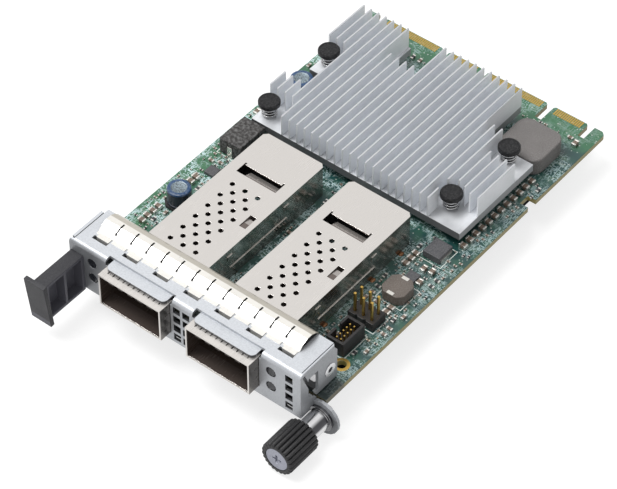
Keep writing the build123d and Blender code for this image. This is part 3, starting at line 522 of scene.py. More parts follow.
def build_moulded_grain():
    """Speckled colour and fine bumps of moulded or pressed surfaces."""
    group, inside, outside = new_group(
        "moulded_grain",
        [("Colour", "NodeSocketColor", (0.5, 0.5, 0.5, 1)),
         ("Speckle Colour", "NodeSocketColor", (0.6, 0.6, 0.6, 1)),
         ("Grains per Millimetre", "NodeSocketFloat", 3.0), ("Speckle", "NodeSocketFloat", 0.3)],
        [("Colour", "NodeSocketColor"), ("Height", "NodeSocketFloat"), ("Roughness Shift", "NodeSocketFloat")])
    vector = place_coordinates(group)
    fine = place_noise(group, vector, inside.outputs["Grains per Millimetre"], 3.0, 0.6)
    broad = place_noise(group, vector, 0.22, 2.0)
    speckle = place_product(group, place_range(group, fine, 0.42, 0.7), inside.outputs["Speckle"])
    spotted = place_mix(group, speckle, inside.outputs["Colour"], inside.outputs["Speckle Colour"])
    shade = place_range(group, broad, 0.3, 0.7, 0.88, 1.08)
    shaded = group.nodes.new("ShaderNodeVectorMath")
    shaded.operation = "SCALE"
    group.links.new(spotted, shaded.inputs[0])
    group.links.new(shade, shaded.inputs["Scale"])
    group.links.new(shaded.outputs["Vector"], outside.inputs["Colour"])
    group.links.new(fine, outside.inputs["Height"])
    group.links.new(place_range(group, broad, 0.3, 0.7, -0.05, 0.05), outside.inputs["Roughness Shift"])
    return group


def build_rolled_streaks():
    """Streaks, faint smudges and scratches of rolled or drawn metal."""
    group, inside, outside = new_group(
        "rolled_streaks",
        [("Colour", "NodeSocketColor", (0.7, 0.7, 0.7, 1)),
         ("Dull Colour", "NodeSocketColor", (0.6, 0.6, 0.6, 1)),
         ("Streak Stretch", "NodeSocketVector", (1.0, 0.08, 1.0)), ("Streak", "NodeSocketFloat", 0.4),
         ("Roughness", "NodeSocketFloat", 0.35)],
        [("Colour", "NodeSocketColor"), ("Roughness", "NodeSocketFloat"), ("Height", "NodeSocketFloat")])
    base = place_coordinates(group)
    stretched = place_vector_math(group, "MULTIPLY", base, inside.outputs["Streak Stretch"])
    streak = place_noise(group, stretched, 5.0, 3.0, 0.65)
    cloud = place_noise(group, base, 0.16, 3.0, 0.55)
    dull = place_product(group, place_range(group, streak, 0.35, 0.7), inside.outputs["Streak"])
    dull = place_math(group, "ADD", dull, place_range(group, cloud, 0.4, 0.75, 0.0, 0.35), clamp=True)
    colour = place_mix(group, dull, inside.outputs["Colour"], inside.outputs["Dull Colour"])
    group.links.new(colour, outside.inputs["Colour"])
    streak_shift = place_range(group, streak, 0.3, 0.7, -0.06, 0.08)
    cloud_shift = place_range(group, cloud, 0.3, 0.7, -0.04, 0.06)
    rough = place_math(group, "ADD", inside.outputs["Roughness"], streak_shift)
    rough = place_math(group, "ADD", rough, cloud_shift, clamp=True)
    group.links.new(rough, outside.inputs["Roughness"])
    group.links.new(streak, outside.inputs["Height"])
    return group


def build_printed_strokes():
    """Short printed strokes in cells along one axis, gated by a broad noise."""
    group, inside, outside = new_group(
        "printed_strokes",
        [("Cells per Millimetre", "NodeSocketVector", (0.6, 3.0, 0.0)), ("Share", "NodeSocketFloat", 0.1),
         ("Seed", "NodeSocketFloat", 1.0)],
        [("Mask", "NodeSocketFloat")])
    base = place_coordinates(group, (1, 1, 0))
    cells = place_vector_math(group, "MULTIPLY", base, inside.outputs["Cells per Millimetre"])
    whole = place_vector_math(group, "FLOOR", cells)
    chance = group.nodes.new("ShaderNodeTexWhiteNoise")
    chance.noise_dimensions = "4D"
    group.links.new(whole, chance.inputs["Vector"])
    group.links.new(inside.outputs["Seed"], chance.inputs["W"])
    drawn = place_below(group, chance.outputs["Value"], inside.outputs["Share"])
    shifted = place_vector_math(group, "ADD", base, (31.0, 17.0, 0.0))
    broad = place_range(group, place_noise(group, shifted, 0.17, 2.0), 0.42, 0.55)
    group.links.new(place_product(group, drawn, broad), outside.inputs["Mask"])
    return group


shader_groups = {}


def group_of(name):
    """A shader group by name, built when it is first asked for."""
    makers = {"moulded_grain": build_moulded_grain, "rolled_streaks": build_rolled_streaks,
              "printed_strokes": build_printed_strokes}
    if name not in shader_groups:
        shader_groups[name] = makers[name]()
    return shader_groups[name]


def place_group(tree, name, **values):
    """A shader group in a tree, with the values of its inputs."""
    node = tree.nodes.new("ShaderNodeGroup")
    node.node_tree = group_of(name)
    for key, value in values.items():
        label = key.replace("_", " ")
        socket = next(s for s in node.inputs if s.name.lower() == label)
        if socket.type == "RGBA":
            value = (*value[:3], 1)
        socket.default_value = value
    return node


# Finishes


def start_finish(name, metallic=0.0, roughness=0.5, **constants):
    """A new material with its shader; constants are set on the shader's own sockets."""
    material = bpy.data.materials.new(name)
    material.use_nodes = True
    tree = material.node_tree
    shader = tree.nodes["Principled BSDF"]
    shader.inputs["Metallic"].default_value = metallic
    shader.inputs["Roughness"].default_value = roughness
    for key, value in constants.items():
        shader.inputs[key.replace("_", " ").title().replace("Ior", "IOR")].default_value = value
    return material, tree, shader


def add_bump(tree, shader, height, depth):
    """A bump of a depth in millimetres."""
    bump = tree.nodes.new("ShaderNodeBump")
    bump.inputs["Distance"].default_value = depth * mm
    tree.links.new(height, bump.inputs["Height"])
    tree.links.new(bump.outputs["Normal"], shader.inputs["Normal"])


def lighter(colour, share):
    """A colour taken a share of the way to white."""
    return tuple(c + (1 - c) * share for c in colour[:3])


def darker(colour, share):
    """A colour taken a share of the way to black."""
    return tuple(c * (1 - share) for c in colour[:3])


def moulded_finish(name, colour, roughness=0.5, speckle=0.3, grains=3.0, depth=0.01, shade=None,
                   shade_colour=(0, 0, 0), **constants):
    """Moulded plastic, pressed powder, ceramic or film; shade gives a mask where painted light puts another colour.
    """
    material, tree, shader = start_finish(name, 0.0, roughness, **constants)
    grain = place_group(tree, "moulded_grain", colour=colour, speckle_colour=lighter(colour, 0.25),
                        grains_per_millimetre=grains, speckle=speckle)
    surface = grain.outputs["Colour"]
    if shade:
        surface = place_mix(tree, shade(tree), surface, shade_colour)
    tree.links.new(surface, shader.inputs["Base Color"])
    rough = place_math(tree, "ADD", grain.outputs["Roughness Shift"], roughness)
    tree.links.new(rough, shader.inputs["Roughness"])
    add_bump(tree, shader, grain.outputs["Height"], depth)
    return material


def start_metal(name, colour, dull_colour, metallic, roughness, stretch, streak):
    """A new metal with its streaks; the streaks' colour is left to the finish."""
    material, tree, shader = start_finish(name, metallic, roughness)
    streaks = place_group(tree, "rolled_streaks", colour=colour, dull_colour=dull_colour,
                          streak_stretch=stretch, streak=streak, roughness=roughness)
    tree.links.new(streaks.outputs["Roughness"], shader.inputs["Roughness"])
    return material, tree, shader, streaks


def metal_finish(name, colour, roughness=0.35, stretch=(1, 1, 1), streak=0.3, dull=0.2, metallic=1.0, depth=0.003,
                 shade=None, shade_colour=(0.02, 0.02, 0.022)):
    """Rolled, drawn or turned metal; shade gives a mask where painted shade or a painted dark reflection darkens it.
    """
    material, tree, shader, streaks = start_metal(name, colour, darker(colour, dull), metallic, roughness,
                                                  stretch, streak)
    surface = streaks.outputs["Colour"]
    if shade:
        surface = place_mix(tree, shade(tree), surface, shade_colour)
    tree.links.new(surface, shader.inputs["Base Color"])
    add_bump(tree, shader, streaks.outputs["Height"], depth)
    return material


def board_finish(look):
    """Solder mask with copper shapes, printed strokes and vias, a bare cut edge, and painted shade behind the
    faceplate's wall.
    """
    material, tree, shader = start_finish("board_mask", 0.0, 0.35, Coat_Weight=0.35, Coat_Roughness=0.15)
    base = place_coordinates(tree)
    x, y = place_parts(tree, base)[:2]
    cloud = place_noise(tree, base, 0.25, 3.0)

    # Brighter near the left edge and the tail, darker on the right
    left, tail, right = place_range(tree, x, -26, -34), place_range(tree, y, 104, 108), place_range(tree, x, 20, 25)
    bright = place_math(tree, "ADD", place_product(tree, place_most(tree, left, tail), 0.8),
                        place_range(tree, cloud, 0.45, 0.75, 0, 0.4), clamp=True)
    colour = place_mix(tree, right, look.mask, darker(look.mask, 0.25))
    colour = place_mix(tree, bright, colour, look.mask_bright)

    # Copper under the mask, then the print in four seeds, weaker on the right and at the tail
    copper = place_group(tree, "printed_strokes", cells_per_millimetre=(0.35, 0.9, 0), share=0.4,
                         seed=7.0).outputs["Mask"]
    colour = place_mix(tree, place_product(tree, copper, 0.3), colour, lighter(look.mask_bright, 0.15))
    strokes = []
    for seed, (cells, share) in enumerate((((0.9, 4.6, 0), 0.14), ((4.6, 0.9, 0), 0.14),
                                           ((2.1, 5.2, 0), 0.13), ((5.2, 2.1, 0), 0.13)), 1):
        group = place_group(tree, "printed_strokes", cells_per_millimetre=cells, share=share, seed=seed)
        strokes.append(group.outputs["Mask"])
    marks = place_most(tree, *strokes)
    drawn = place_product(tree, marks, place_range(tree, x, 20, 25, 0.9, 0.45),
                          place_range(tree, y, 100, 106, 1.0, 0.4))
    colour = place_mix(tree, drawn, colour, look.marks)

    dots = tree.nodes.new("ShaderNodeTexVoronoi")
    dots.inputs["Scale"].default_value = 0.75
    tree.links.new(base, dots.inputs["Vector"])
    via = place_product(tree, place_below(tree, dots.outputs["Distance"], 0.16), 0.7)
    colour = place_mix(tree, via, colour, lighter(look.mask_bright, 0.45))

    side = place_below(tree, place_size(tree, place_facing(tree)[2]), 0.6)
    laminate = place_mix(tree, place_noise(tree, base, 3.0), look.laminate, darker(look.laminate, 0.35))
    colour = place_mix(tree, side, colour, laminate)
    # Painted shade: the board behind the faceplate's wall is darkened nearly to black
    painted_shade_behind_wall = place_range(tree, y, 7.5, 6.5, 0.0, 0.75)
    colour = place_mix(tree, painted_shade_behind_wall, colour, (0.01, 0.012, 0.012))
    tree.links.new(colour, shader.inputs["Base Color"])

    rough = place_math(tree, "ADD", place_range(tree, cloud, 0.3, 0.7, 0.3, 0.42), place_product(tree, side, 0.25))
    tree.links.new(rough, shader.inputs["Roughness"])
    add_bump(tree, shader, place_math(tree, "ADD", marks, place_product(tree, copper, 0.6)), 0.02)
    return material


finish_store = {}


def finish(name):
    """Every finish by name, made when it is first asked for."""
    if name in finish_store:
        return finish_store[name]
    scene = bpy.context.scene
    board, metal, moulded = scene.board_look, scene.metal_look, scene.moulded_look
    makers = {
        "board": lambda: board_finish(board),
        "gold": lambda: metal_finish("gold_plating", board.gold, 0.3, dull=0.25),
        "solder": lambda: metal_finish(
            "flux_stained_solder", (0.26, 0.12, 0.05), 0.4, streak=0.5, dull=0.6, metallic=0.6),
        "print": lambda: moulded_finish("printed_outline", (0.62, 0.66, 0.62), 0.55, 0.2),
        "cage": lambda: cage_finish(metal.cage),
        # Painted shade on the gasket sleeves' sides, from shade_gasket
        "gasket": lambda: metal_finish(
            "gasket_fingers", darker(metal.cage, 0.08), 0.3, (1.0, 0.06, 1.0), dull=0.15,
            shade=shade_gasket, shade_colour=(0.07, 0.06, 0.05)),
        # Painted shade: the mouth tabs are cage sheet, coloured dark brown for the shade inside the mouth
        "mouth_tab": lambda: metal_finish(
            "shaded_mouth_tabs", (0.05, 0.037, 0.03), 0.6, streak=0.5, dull=0.5, metallic=0.0),
        # Painted shade on the faceplate, from shade_faceplate
        "faceplate": lambda: metal_finish(
            "tinned_faceplate", metal.faceplate, 0.42, (0.45, 0.7, 0.7), 0.8, 0.24, 0.45, 0.006, shade_faceplate),
        "fingers": lambda: fingers_finish(metal.fingers),
        # Painted shade on the heat sink, from shade_sink
        "sink": lambda: metal_finish(
            "extruded_sink", metal.sink, 0.5, (1.0, 0.1, 1.0), 0.5, 0.12, 0.3, shade=shade_sink),
        "tin": lambda: metal_finish("tinned_lead", metal.tin, 0.28),
        "steel": lambda: metal_finish("plated_steel", metal.steel, 0.25),
        "screw_head": lambda: metal_finish(
            "turned_screw_head", (0.36, 0.37, 0.43), 0.4, streak=0.5, dull=0.4, metallic=0.7),
        # Painted reflection band and painted shade on the collar, from shade_barrel
        "polished": lambda: metal_finish(
            "turned_barrel", lighter(metal.steel, 0.2), 0.14, (1.0, 0.04, 1.0), dull=0.15,
            shade=shade_barrel, shade_colour=(0.025, 0.025, 0.03)),
        "spring": lambda: metal_finish("spring_wire", darker(metal.steel, 0.35), 0.22, streak=0.2),
        "black": lambda: moulded_finish(
            "black_moulding", moulded.black, speckle=0.1, grains=4.0, depth=0.008, Specular_Ior_Level=0.35),
        "knob": lambda: moulded_finish(
            "knob_moulding", moulded.knob, speckle=0.12, grains=4.0, depth=0.012, Specular_Ior_Level=0.35),
        # Painted light: the pull tab's pocket is given a paler grey, from shade_tab
        "tab": lambda: moulded_finish(
            "tab_moulding", moulded.pull_tab, speckle=0.12, grains=5.0, depth=0.012,
            shade=shade_tab, shade_colour=(0.11, 0.11, 0.13), Specular_Ior_Level=0.3),
        "package": lambda: moulded_finish("chip_package", moulded.package, grains=4.0),
        "pin": lambda: moulded_finish(
            "pin_nylon", moulded.pin_cap, speckle=0.1, grains=2.0, depth=0.006, Specular_Ior_Level=0.2),
        "ferrite": lambda: moulded_finish("pressed_powder", moulded.ferrite, 0.6, 0.6, 4.0, 0.03),
        "dark_ferrite": lambda: moulded_finish(
            "dark_pressed_powder", darker(moulded.ferrite, 0.78), 0.6, 0.5, 1.2, 0.02, Specular_Ior_Level=0.35),
        "brown_ferrite": lambda: moulded_finish("brown_pressed_powder", (0.10, 0.08, 0.066), 0.6, depth=0.02),
        "ceramic": lambda: moulded_finish("fired_ceramic", moulded.ceramic, 0.4, depth=0.004),
        "resistor": lambda: moulded_finish("resistor_glaze", (0.02, 0.02, 0.022), 0.3, 0.2, depth=0.003),
        "can": lambda: metal_finish(
            "can_side", (0.025, 0.03, 0.045), 0.35, (1.0, 1.0, 0.1), 0.4, 0.4, 0.3),
        "can_top": lambda: metal_finish(
            "can_top", (0.33, 0.41, 0.46), 0.4, (0.6, 0.6, 0.6), 1.3, 0.8, 0.3),
        "can_ring": lambda: moulded_finish(
            "can_sleeve", (0.012, 0.052, 0.135), 0.35, 0.4, 2.0, Specular_Ior_Level=0.35),
        "film": lambda: moulded_finish("insulator_film", (0.02, 0.02, 0.022), 0.35, 0.15, 1.0, 0.004),
        "foam": lambda: moulded_finish("adhesive_foam", (0.06, 0.06, 0.06), 0.85, 0.5, 5.0, 0.03),
        "compound": lambda: moulded_finish("thermal_pad", (0.3, 0.3, 0.32), 0.7),
        "pipe": pipe_finish,
        "lamp": lambda: moulded_finish("lamp_package", (0.7, 0.68, 0.5), 0.35, 0.2),
        "dark_inside": lambda: moulded_finish(
            "receptacle_moulding", moulded.black, speckle=0.25, grains=4.0, depth=0.008),
    }
    finish_store[name] = makers[name]()
    return finish_store[name]


def shade_tab(tree):
    """Painted light: the inside of the pull tab's pocket, given a paler grey where it lies in deep shade."""
    x, y, z = place_parts(tree, place_coordinates(tree))
    low, high = box_mm("pull_tab")
    return place_product(tree, place_between(tree, x, low.x + 0.05, high.x - 0.2),
                         place_between(tree, y, low.y + 1.3, high.y - 0.5),
                         place_between(tree, z, low.z + 0.4, high.z - 0.6))


def shade_faceplate(tree):
    """Painted shade: darker on upright faces, most on front faces at the left end and low down; nearly black behind
    the wall, on the raised left wall's inner face, under the arches and at the tongues' edges.
    """
    wall_left, wall_right, wall_rear = -34.9, 34.4, -5.92
    tongue_rear, tongue_low, tongue_high, flange_low, flange_top = -6.2, 9.6, 10.7, 10.6, 11.3
    x, y, z = place_parts(tree, place_coordinates(tree))
    out_x, out_y, out_z = place_facing(tree)
    strip_low, strip_high = box_mm("emi_finger_strip")
    depth = place_most(tree, place_range(tree, x, -20, -29, 0.08, 0.5), place_range(tree, z, -2.5, -4.0, 0.0, 0.66))
    front = place_product(tree, place_range(tree, out_y, -0.35, -0.8), depth)
    side = place_range(tree, place_size(tree, out_x), 0.35, 0.8, 0.0, 0.36)
    rise = place_product(tree, place_below(tree, x, wall_left), place_above(tree, out_x, 0.4),
                         place_above(tree, z, 9.5), 0.88)
    inside = place_product(tree, place_above(tree, y, wall_rear), place_below(tree, z, flange_low),
                           place_between(tree, x, wall_left, wall_right), 0.85)
    arched = place_product(tree, place_above(tree, z, flange_top), place_above(tree, out_z, 0.5),
                           place_between(tree, x, strip_low.x + 0.3, strip_high.x - 0.3),
                           place_between(tree, y, 0.3, 7.0), 0.88)
    lip = place_product(tree, place_below(tree, y, tongue_rear), place_between(tree, z, tongue_low, tongue_high),
                        place_below(tree, out_z, 0.5), 0.92)
    return place_most(tree, front, side, rise, inside, arched, lip)


def shade_gasket(tree):
    """Painted shade on the sides of the sleeves."""
    return place_range(tree, place_size(tree, place_facing(tree)[0]), 0.5, 0.85, 0.0, 0.7)


def shade_sink(tree):
    """Painted shade: darker on the front and right edge of the base, in patches deep between the fins, and on the
    fins' tops.
    """
    edge_top, face_top = 4.85, 4.9
    base = place_coordinates(tree)
    z = place_parts(tree, base)[2]
    out_x, out_y, out_z = place_facing(tree)
    front = place_product(tree, place_range(tree, out_y, -0.4, -0.8), place_below(tree, z, edge_top), 0.86)
    side = place_product(tree, place_range(tree, out_x, 0.4, 0.8), place_below(tree, z, edge_top), 0.6)
    patch = place_range(tree, place_noise(tree, base, 0.12), 0.4, 0.62, 0.12, 0.45)
    flat = place_product(tree, place_range(tree, out_z, 0.4, 0.8), place_below(tree, z, face_top), patch)
    fin_tops = place_product(tree, place_range(tree, out_z, 0.2, 0.7), place_above(tree, z, face_top), 0.42)
    return place_most(tree, front, flat, fin_tops, side)


def shade_barrel(tree):
    """Painted reflection: the dark band that a polished round shows on one side of its highlight; and painted shade
    on the collar.
    """
    collar_start, collar_full = -2.6, -1.8
    out_x, out_z = place_facing(tree)[::2]
    y = place_parts(tree, place_coordinates(tree))[1]
    band = place_product(tree, place_range(tree, out_x, 0.42, 0.66), place_range(tree, out_x, 0.99, 0.93),
                         place_above(tree, out_z, 0), 0.93)
    return place_most(tree, band, place_range(tree, y, collar_start, collar_full, 0.0, 0.75))


def fingers_finish(colour):
    """Bright sprung strip: white on its front slope, with painted shade on its rear one and painted shadow in its
    slits.
    """
    material, tree, shader, streaks = start_metal("bright_fingers", lighter(colour, 0.55), lighter(colour, 0.2),
                                                  0.6, 0.35, (1.0, 0.1, 1.0), 0.2)
    out_x, out_y = place_facing(tree)[:2]
    # Painted shade: the rear slope goes grey-brown; painted shadow: the slits go nearly black
    surface = place_mix(tree, place_range(tree, out_y, -0.1, 0.12), streaks.outputs["Colour"], (0.50, 0.47, 0.41))
    slit = place_range(tree, place_size(tree, out_x), 0.5, 0.8, 0.0, 0.93)
    tree.links.new(place_mix(tree, slit, surface, (0.03, 0.028, 0.025)), shader.inputs["Base Color"])
    add_bump(tree, shader, streaks.outputs["Height"], 0.002)
    return material


def cage_finish(colour):
    """Satin sheet with the roll marks along the cage; painted shade on its sides, under the flange and inside, less
    on the up-facing flap and louver inside.
    """
    flange_front, flange_rear, mouth_rear = -5.2, 7.0, 10
    material, tree, shader, streaks = start_metal("satin_cage", colour, darker(colour, 0.12),
                                                  1.0, 0.2, (1.0, 0.06, 1.0), 0.3)
    base = place_coordinates(tree)
    x, y, z = place_parts(tree, base)
    out_x, out_z = place_facing(tree)[::2]
    # Painted shade inside the cages, made less dark on the flap and louver that face up under the roof
    within = []
    for node in ("cage_left", "cage_right"):
        low, high = box_mm(node)
        reach = (high.x - low.x) / 2 - cage_tab_reach - 0.15
        off = place_size(tree, place_math(tree, "SUBTRACT", x, (low.x + high.x) / 2))
        within.append(place_below(tree, off, reach))
    inside = place_product(tree, place_most(tree, *within), place_between(tree, z, 0.15, high.z - 0.03),
                           place_above(tree, y, low.y + 0.1))
    lit = place_product(tree, place_between(tree, z, high.z - 1.7, high.z - 0.32), place_above(tree, out_z, 0.3),
                        place_above(tree, y, mouth_rear))
    inside = place_product(tree, inside, place_range(tree, lit, 0, 1, 0.92, 0.5))
    # Painted shade on the sides, varied by noise, and on the strip under the flange
    side_shade_mottle = place_range(tree, place_noise(tree, base, 0.35, 3.0), 0.35, 0.7, 0.5, 0.72)
    side = place_product(tree, place_range(tree, place_size(tree, out_x), 0.5, 0.85), side_shade_mottle)
    under = place_product(tree, place_between(tree, y, flange_front, flange_rear), 0.75)
    surface = place_mix(tree, place_most(tree, side, under), streaks.outputs["Colour"], (0.05, 0.05, 0.035))
    tree.links.new(place_mix(tree, inside, surface, (0.075, 0.05, 0.04)), shader.inputs["Base Color"])
    tree.links.new(place_range(tree, inside, 0, 0.9, 1.0, 0.35), shader.inputs["Metallic"])
    add_bump(tree, shader, streaks.outputs["Height"], 0.002)
    return material


def pipe_finish():
    """Clear moulding with faint clouding, coloured nearly black as painted shade for the dark seen through its ends.
    """
    material, tree, shader = start_finish("clear_moulding", 0.0, 0.12, Transmission_Weight=0.15, Ior=1.49,
                                          Specular_Ior_Level=0.3)
    # Painted shade: the clear pipes are given a near-black colour
    grain = place_group(tree, "moulded_grain", colour=(0.018, 0.02, 0.027), speckle_colour=(0.16, 0.17, 0.18),
                        grains_per_millimetre=1.5, speckle=0.4)
    tree.links.new(grain.outputs["Colour"], shader.inputs["Base Color"])
    add_bump(tree, shader, grain.outputs["Height"], 0.004)
    return material


# Board and the parts on it


def dress_board():
    """Board and contacts, the ring of the locating hole and the solder at the cages' legs."""
    dress("circuit_board", finish("board"), edge=0.06)
    dress("edge_contacts", finish("gold"))
    ring = bmesh.new()
    add_turned(ring, place_at(33.9, 11.1), [(1.27, 0.0), (1.27, 0.05), (2.05, 0.05), (2.1, 0.0)], 40)
    make_piece("locating_hole_ring", ring, finish("gold"))
    mound = [(1.25, 0.0), (1.15, 0.1), (0.8, 0.28), (0.4, 0.38), (0, 0.4)]
    flatten = Matrix.Diagonal((0.5, 0.7, 1.0, 1.0))
    pads = bmesh.new()
    for cage_side, outward in ((22.63, 0.4), (3.63, -0.4)):
        for leg in (3.5, 18.5, 37.2, 48.5):
            add_turned(pads, place_at(cage_side + outward, leg) @ flatten, mound, 20)
    make_piece("leg_solder", pads, finish("solder"), smooth=60)


def outline_strokes(builder, low, high, width):
    """A printed rectangle drawn as four thin strips on the board."""
    x0, y0, x1, y1 = *low, *high
    for a, b, c, d in ((x0, y0, x1, y0 + width), (x0, y1 - width, x1, y1),
                       (x0, y0 + width, x0 + width, y1 - width), (x1 - width, y0 + width, x1, y1 - width)):
        add_block(builder, (a, b, 0), (c, d, print_height))


def print_outlines(sizes):
    """Printed outlines round the larger parts, each with its margin."""
    strokes = bmesh.new()
    for node, margin in (("power_diode", 0.8), ("small_inductor", 0.5), ("post_header", 0.5), ("box_header", 0.5),
                         ("rear_inductor", 0.6)):
        low, high = box_mm(node)
        outline_strokes(strokes, (low.x - margin, low.y - margin), (high.x + margin, high.y + margin),
                        sizes.print_width / mm)
    make_piece("printed_outlines", strokes, finish("print"))


def taken_places():
    """Boxes on the board that tiny chips keep clear of, in millimetres."""
    boxes = [box_mm(node) for node in (
        "cage_left", "cage_right", "heat_sink", "post_header", "box_header", "small_inductor", "rear_inductor",
        "large_inductor", "power_diode", "side_nut")]
    for node in ("chip_capacitors", "can_capacitors", "regulator_chips", "status_lamps"):
        boxes += solids_of(node)
    under_flange = (-36.5, -1.0, 36.5, 8.0)
    locating_hole = (31.2, 8.4, 36.6, 13.8)
    return [(low.x, low.y, high.x, high.y) for low, high in boxes] + [under_flange, locating_hole]


def scatter_tiny_chips(count, end_share):
    """Small chips on the open board in seeded clusters."""
    chooser = random.Random(11)
    taken = taken_places()
    fields = {(23.6, 8.5, 37.3, 58.5): 0.4, (-37.3, 8.5, -24.0, 58.5): 0.33, (-3.9, 8.5, 3.1, 58.5): 0.14,
              (-37.4, 58.8, -33.3, 104.0): 0.06, (33.3, 58.8, 37.4, 89.0): 0.03, (-36.0, 105.6, 34.0, 108.3): 0.04}
    chip_sizes = ((1.0, 0.5, 0.4), (1.0, 0.5, 0.4), (1.6, 0.8, 0.6), (0.6, 0.3, 0.3))
    row_gap, room, end_rise, resistor_share = 0.35, 0.22, 0.01, 0.4
    most_tries = 40000
    bodies, resistors, ends = bmesh.new(), bmesh.new(), bmesh.new()
    placed = tries = 0
    while placed < count and tries < most_tries:
        tries += 1
        x0, y0, x1, y1 = chooser.choices(list(fields), list(fields.values()))[0]
        cx, cy = chooser.uniform(x0, x1), chooser.uniform(y0, y1)
        along = chooser.random() < 0.5
        long, short, tall = chooser.choice(chip_sizes)
        row = chooser.choice((1, 1, 2, 3, 4))
        for index in range(row):
            step = index * (short + row_gap)
            x, y = (cx, cy + step) if along else (cx + step, cy)
            dx, dy = (long / 2, short / 2) if along else (short / 2, long / 2)
            box = (x - dx - room, y - dy - room, x + dx + room, y + dy + room)
            if box[0] < x0 or box[1] < y0 or box[2] > x1 or box[3] > y1:
                continue
            if any(box[0] < t[2] and box[2] > t[0] and box[1] < t[3] and box[3] > t[1] for t in taken):
                continue
            taken.append(box)
            placed += 1
            body = resistors if chooser.random() < resistor_share else bodies
            inset = (long * end_share, 0) if along else (0, long * end_share)
            low, high = (x - dx, y - dy), (x + dx, y + dy)
            add_block(body, (low[0] + inset[0], low[1] + inset[1], 0), (high[0] - inset[0], high[1] - inset[1], tall))
            near_end = (low[0] + inset[0], high[1]) if along else (high[0], low[1] + inset[1])
            far_end = (high[0] - inset[0], low[1]) if along else (low[0], high[1] - inset[1])
            add_block(ends, (*low, 0), (*near_end, tall + end_rise))
            add_block(ends, (*far_end, 0), (*high, tall + end_rise))
    make_piece("tiny_capacitors", bodies, finish("ceramic"))
    make_piece("tiny_resistors", resistors, finish("resistor"))
    make_piece("tiny_chip_ends", ends, finish("tin"))


def wrap_chip_capacitors(end_share):
    """Ceramic bodies with tinned ends, in the place of the plain blocks."""
    ceramic, tin = 0, 1
    end_growth = 0.03
    chips = bmesh.new()
    for low, high in solids_of("chip_capacitors"):
        size = high - low
        axis = 0 if size.x > size.y else 1
        long = size[axis]
        cap = long * end_share
        for start, end, kind, grow in ((0, cap, tin, end_growth), (cap, long - cap, ceramic, 0.0),
                                       (long - cap, long, tin, end_growth)):
            a, b = low.copy(), high.copy()
            a[axis], b[axis] = low[axis] + start, low[axis] + end
            a[1 - axis] -= grow
            b[1 - axis] += grow
            b.z += grow - end_growth
            add_block(chips, a, b, kind)
    piece = make_piece("chip_capacitor_bodies", chips, [finish("ceramic"), finish("tin")],
                       stands_for=["chip_capacitors"])
    round_edges(piece, width=0.07)


def turn_can_capacitors(radius):
    """Cans with a rolled groove and a marked top, on black bases with two cut corners."""
    side, top_face, ring, base = range(4)
    base_top, corner_cut, steps = 0.9, 1.4, 56
    mark_radius = 2.05
    cans = bmesh.new()
    for low, high in solids_of("can_capacitors"):
        x, y = middle_of(low, high)
        half = (high.x - low.x) / 2
        inner = half - corner_cut
        outline = [(x - half, y + half), (x - half, y - inner), (x - inner, y - half), (x + inner, y - half),
                   (x + half, y - inner), (x + half, y + half)]
        add_prism(cans, outline, 0.0, base_top, base)
        top = high.z
        add_turned(cans, place_at(x, y), [
            (radius - 0.4, base_top), (radius, 0.95), (radius, 1.6), (radius - 0.25, 1.75), (radius - 0.25, 1.95),
            (radius, 2.1), (radius, top - 0.5)], steps, side)
        add_turned(cans, place_at(x, y), [
            (radius, top - 0.5), (radius - 0.15, top - 0.12), (radius - 0.35, top - 0.02), (mark_radius, top - 0.02)],
            steps, ring)
        add_turned(cans, place_at(x, y), [
            (mark_radius, top - 0.02), (mark_radius - 0.1, top - 0.08), (0, top - 0.08)], steps, top_face)
    make_piece("can_capacitor_bodies", cans, [finish("can"), finish("can_top"), finish("can_ring"), finish("black")],
               stands_for=["can_capacitors"], smooth=40)


def mould_inductors():
    """Pressed inductors with rounded corners and their tinned ends."""
    low, high = box_mm("large_inductor")
    corner_radius = 3.1
    body = bmesh.new()
    add_prism(body, rounded_outline(low, high, corner_radius), low.z, high.z)
    piece = make_piece("large_inductor_body", body, finish("ferrite"),
                       stands_for=["large_inductor"], smooth=50)
    round_edges(piece, width=0.35, segments=3)
    dress("small_inductor", finish("brown_ferrite"), edge=0.2, segments=2)
    dress("rear_inductor", finish("dark_ferrite"), edge=0.3, segments=3)
    dress("inductor_tabs", finish("tin"), edge=0.04)


def wrap_diode():
    """Moulded diode between two wrapped leads."""
    low, high = box_mm("power_diode")
    lead = 0.25
    inset = (high.y - low.y) * 0.1
    mid = (low.z + high.z) / 2
    body = bmesh.new()
    add_block(body, (low.x + lead, low.y, low.z), (high.x - lead, high.y, high.z))
    piece = make_piece("power_diode_body", body, finish("package"), stands_for=["power_diode"])
    round_edges(piece, width=0.15)
    leads = bmesh.new()
    for outer, inner in ((low.x, low.x + lead), (high.x - lead, high.x)):
        add_block(leads, (outer, low.y + inset, low.z), (inner, high.y - inset, mid))
    make_piece("power_diode_leads", leads, finish("tin"))


def dress_headers():
    """Headers and their posts, regulator chips, lamps and light pipes."""
    dress("post_header", finish("black"), edge=0.12, segments=2)
    dress("header_posts", finish("gold"), edge=0.1)
    dress("box_header", finish("black"), edge=0.08, segments=2)
    dress("box_header_pins", finish("gold"), edge=0.05)
    dress("regulator_chips", finish("package"), edge=0.06, segments=2)
    dress("status_lamps", finish("lamp"), edge=0.06)
    dress("light_pipes", finish("pipe"), edge=0.08)


# Faceplate, cages and what they hold


def dress_faceplate():
    """The folded sheet and the tab keep every face, because joined faces shade badly round their holes."""
    dress("faceplate", finish("faceplate"), edge=0.05, segments=2, flatten=False)
    dress("emi_finger_strip", finish("fingers"), edge=0.04)
    dress("side_nut", finish("steel"), edge=0.05)
    dress("pull_tab", finish("tab"), edge=0.2, segments=2, flatten=False)


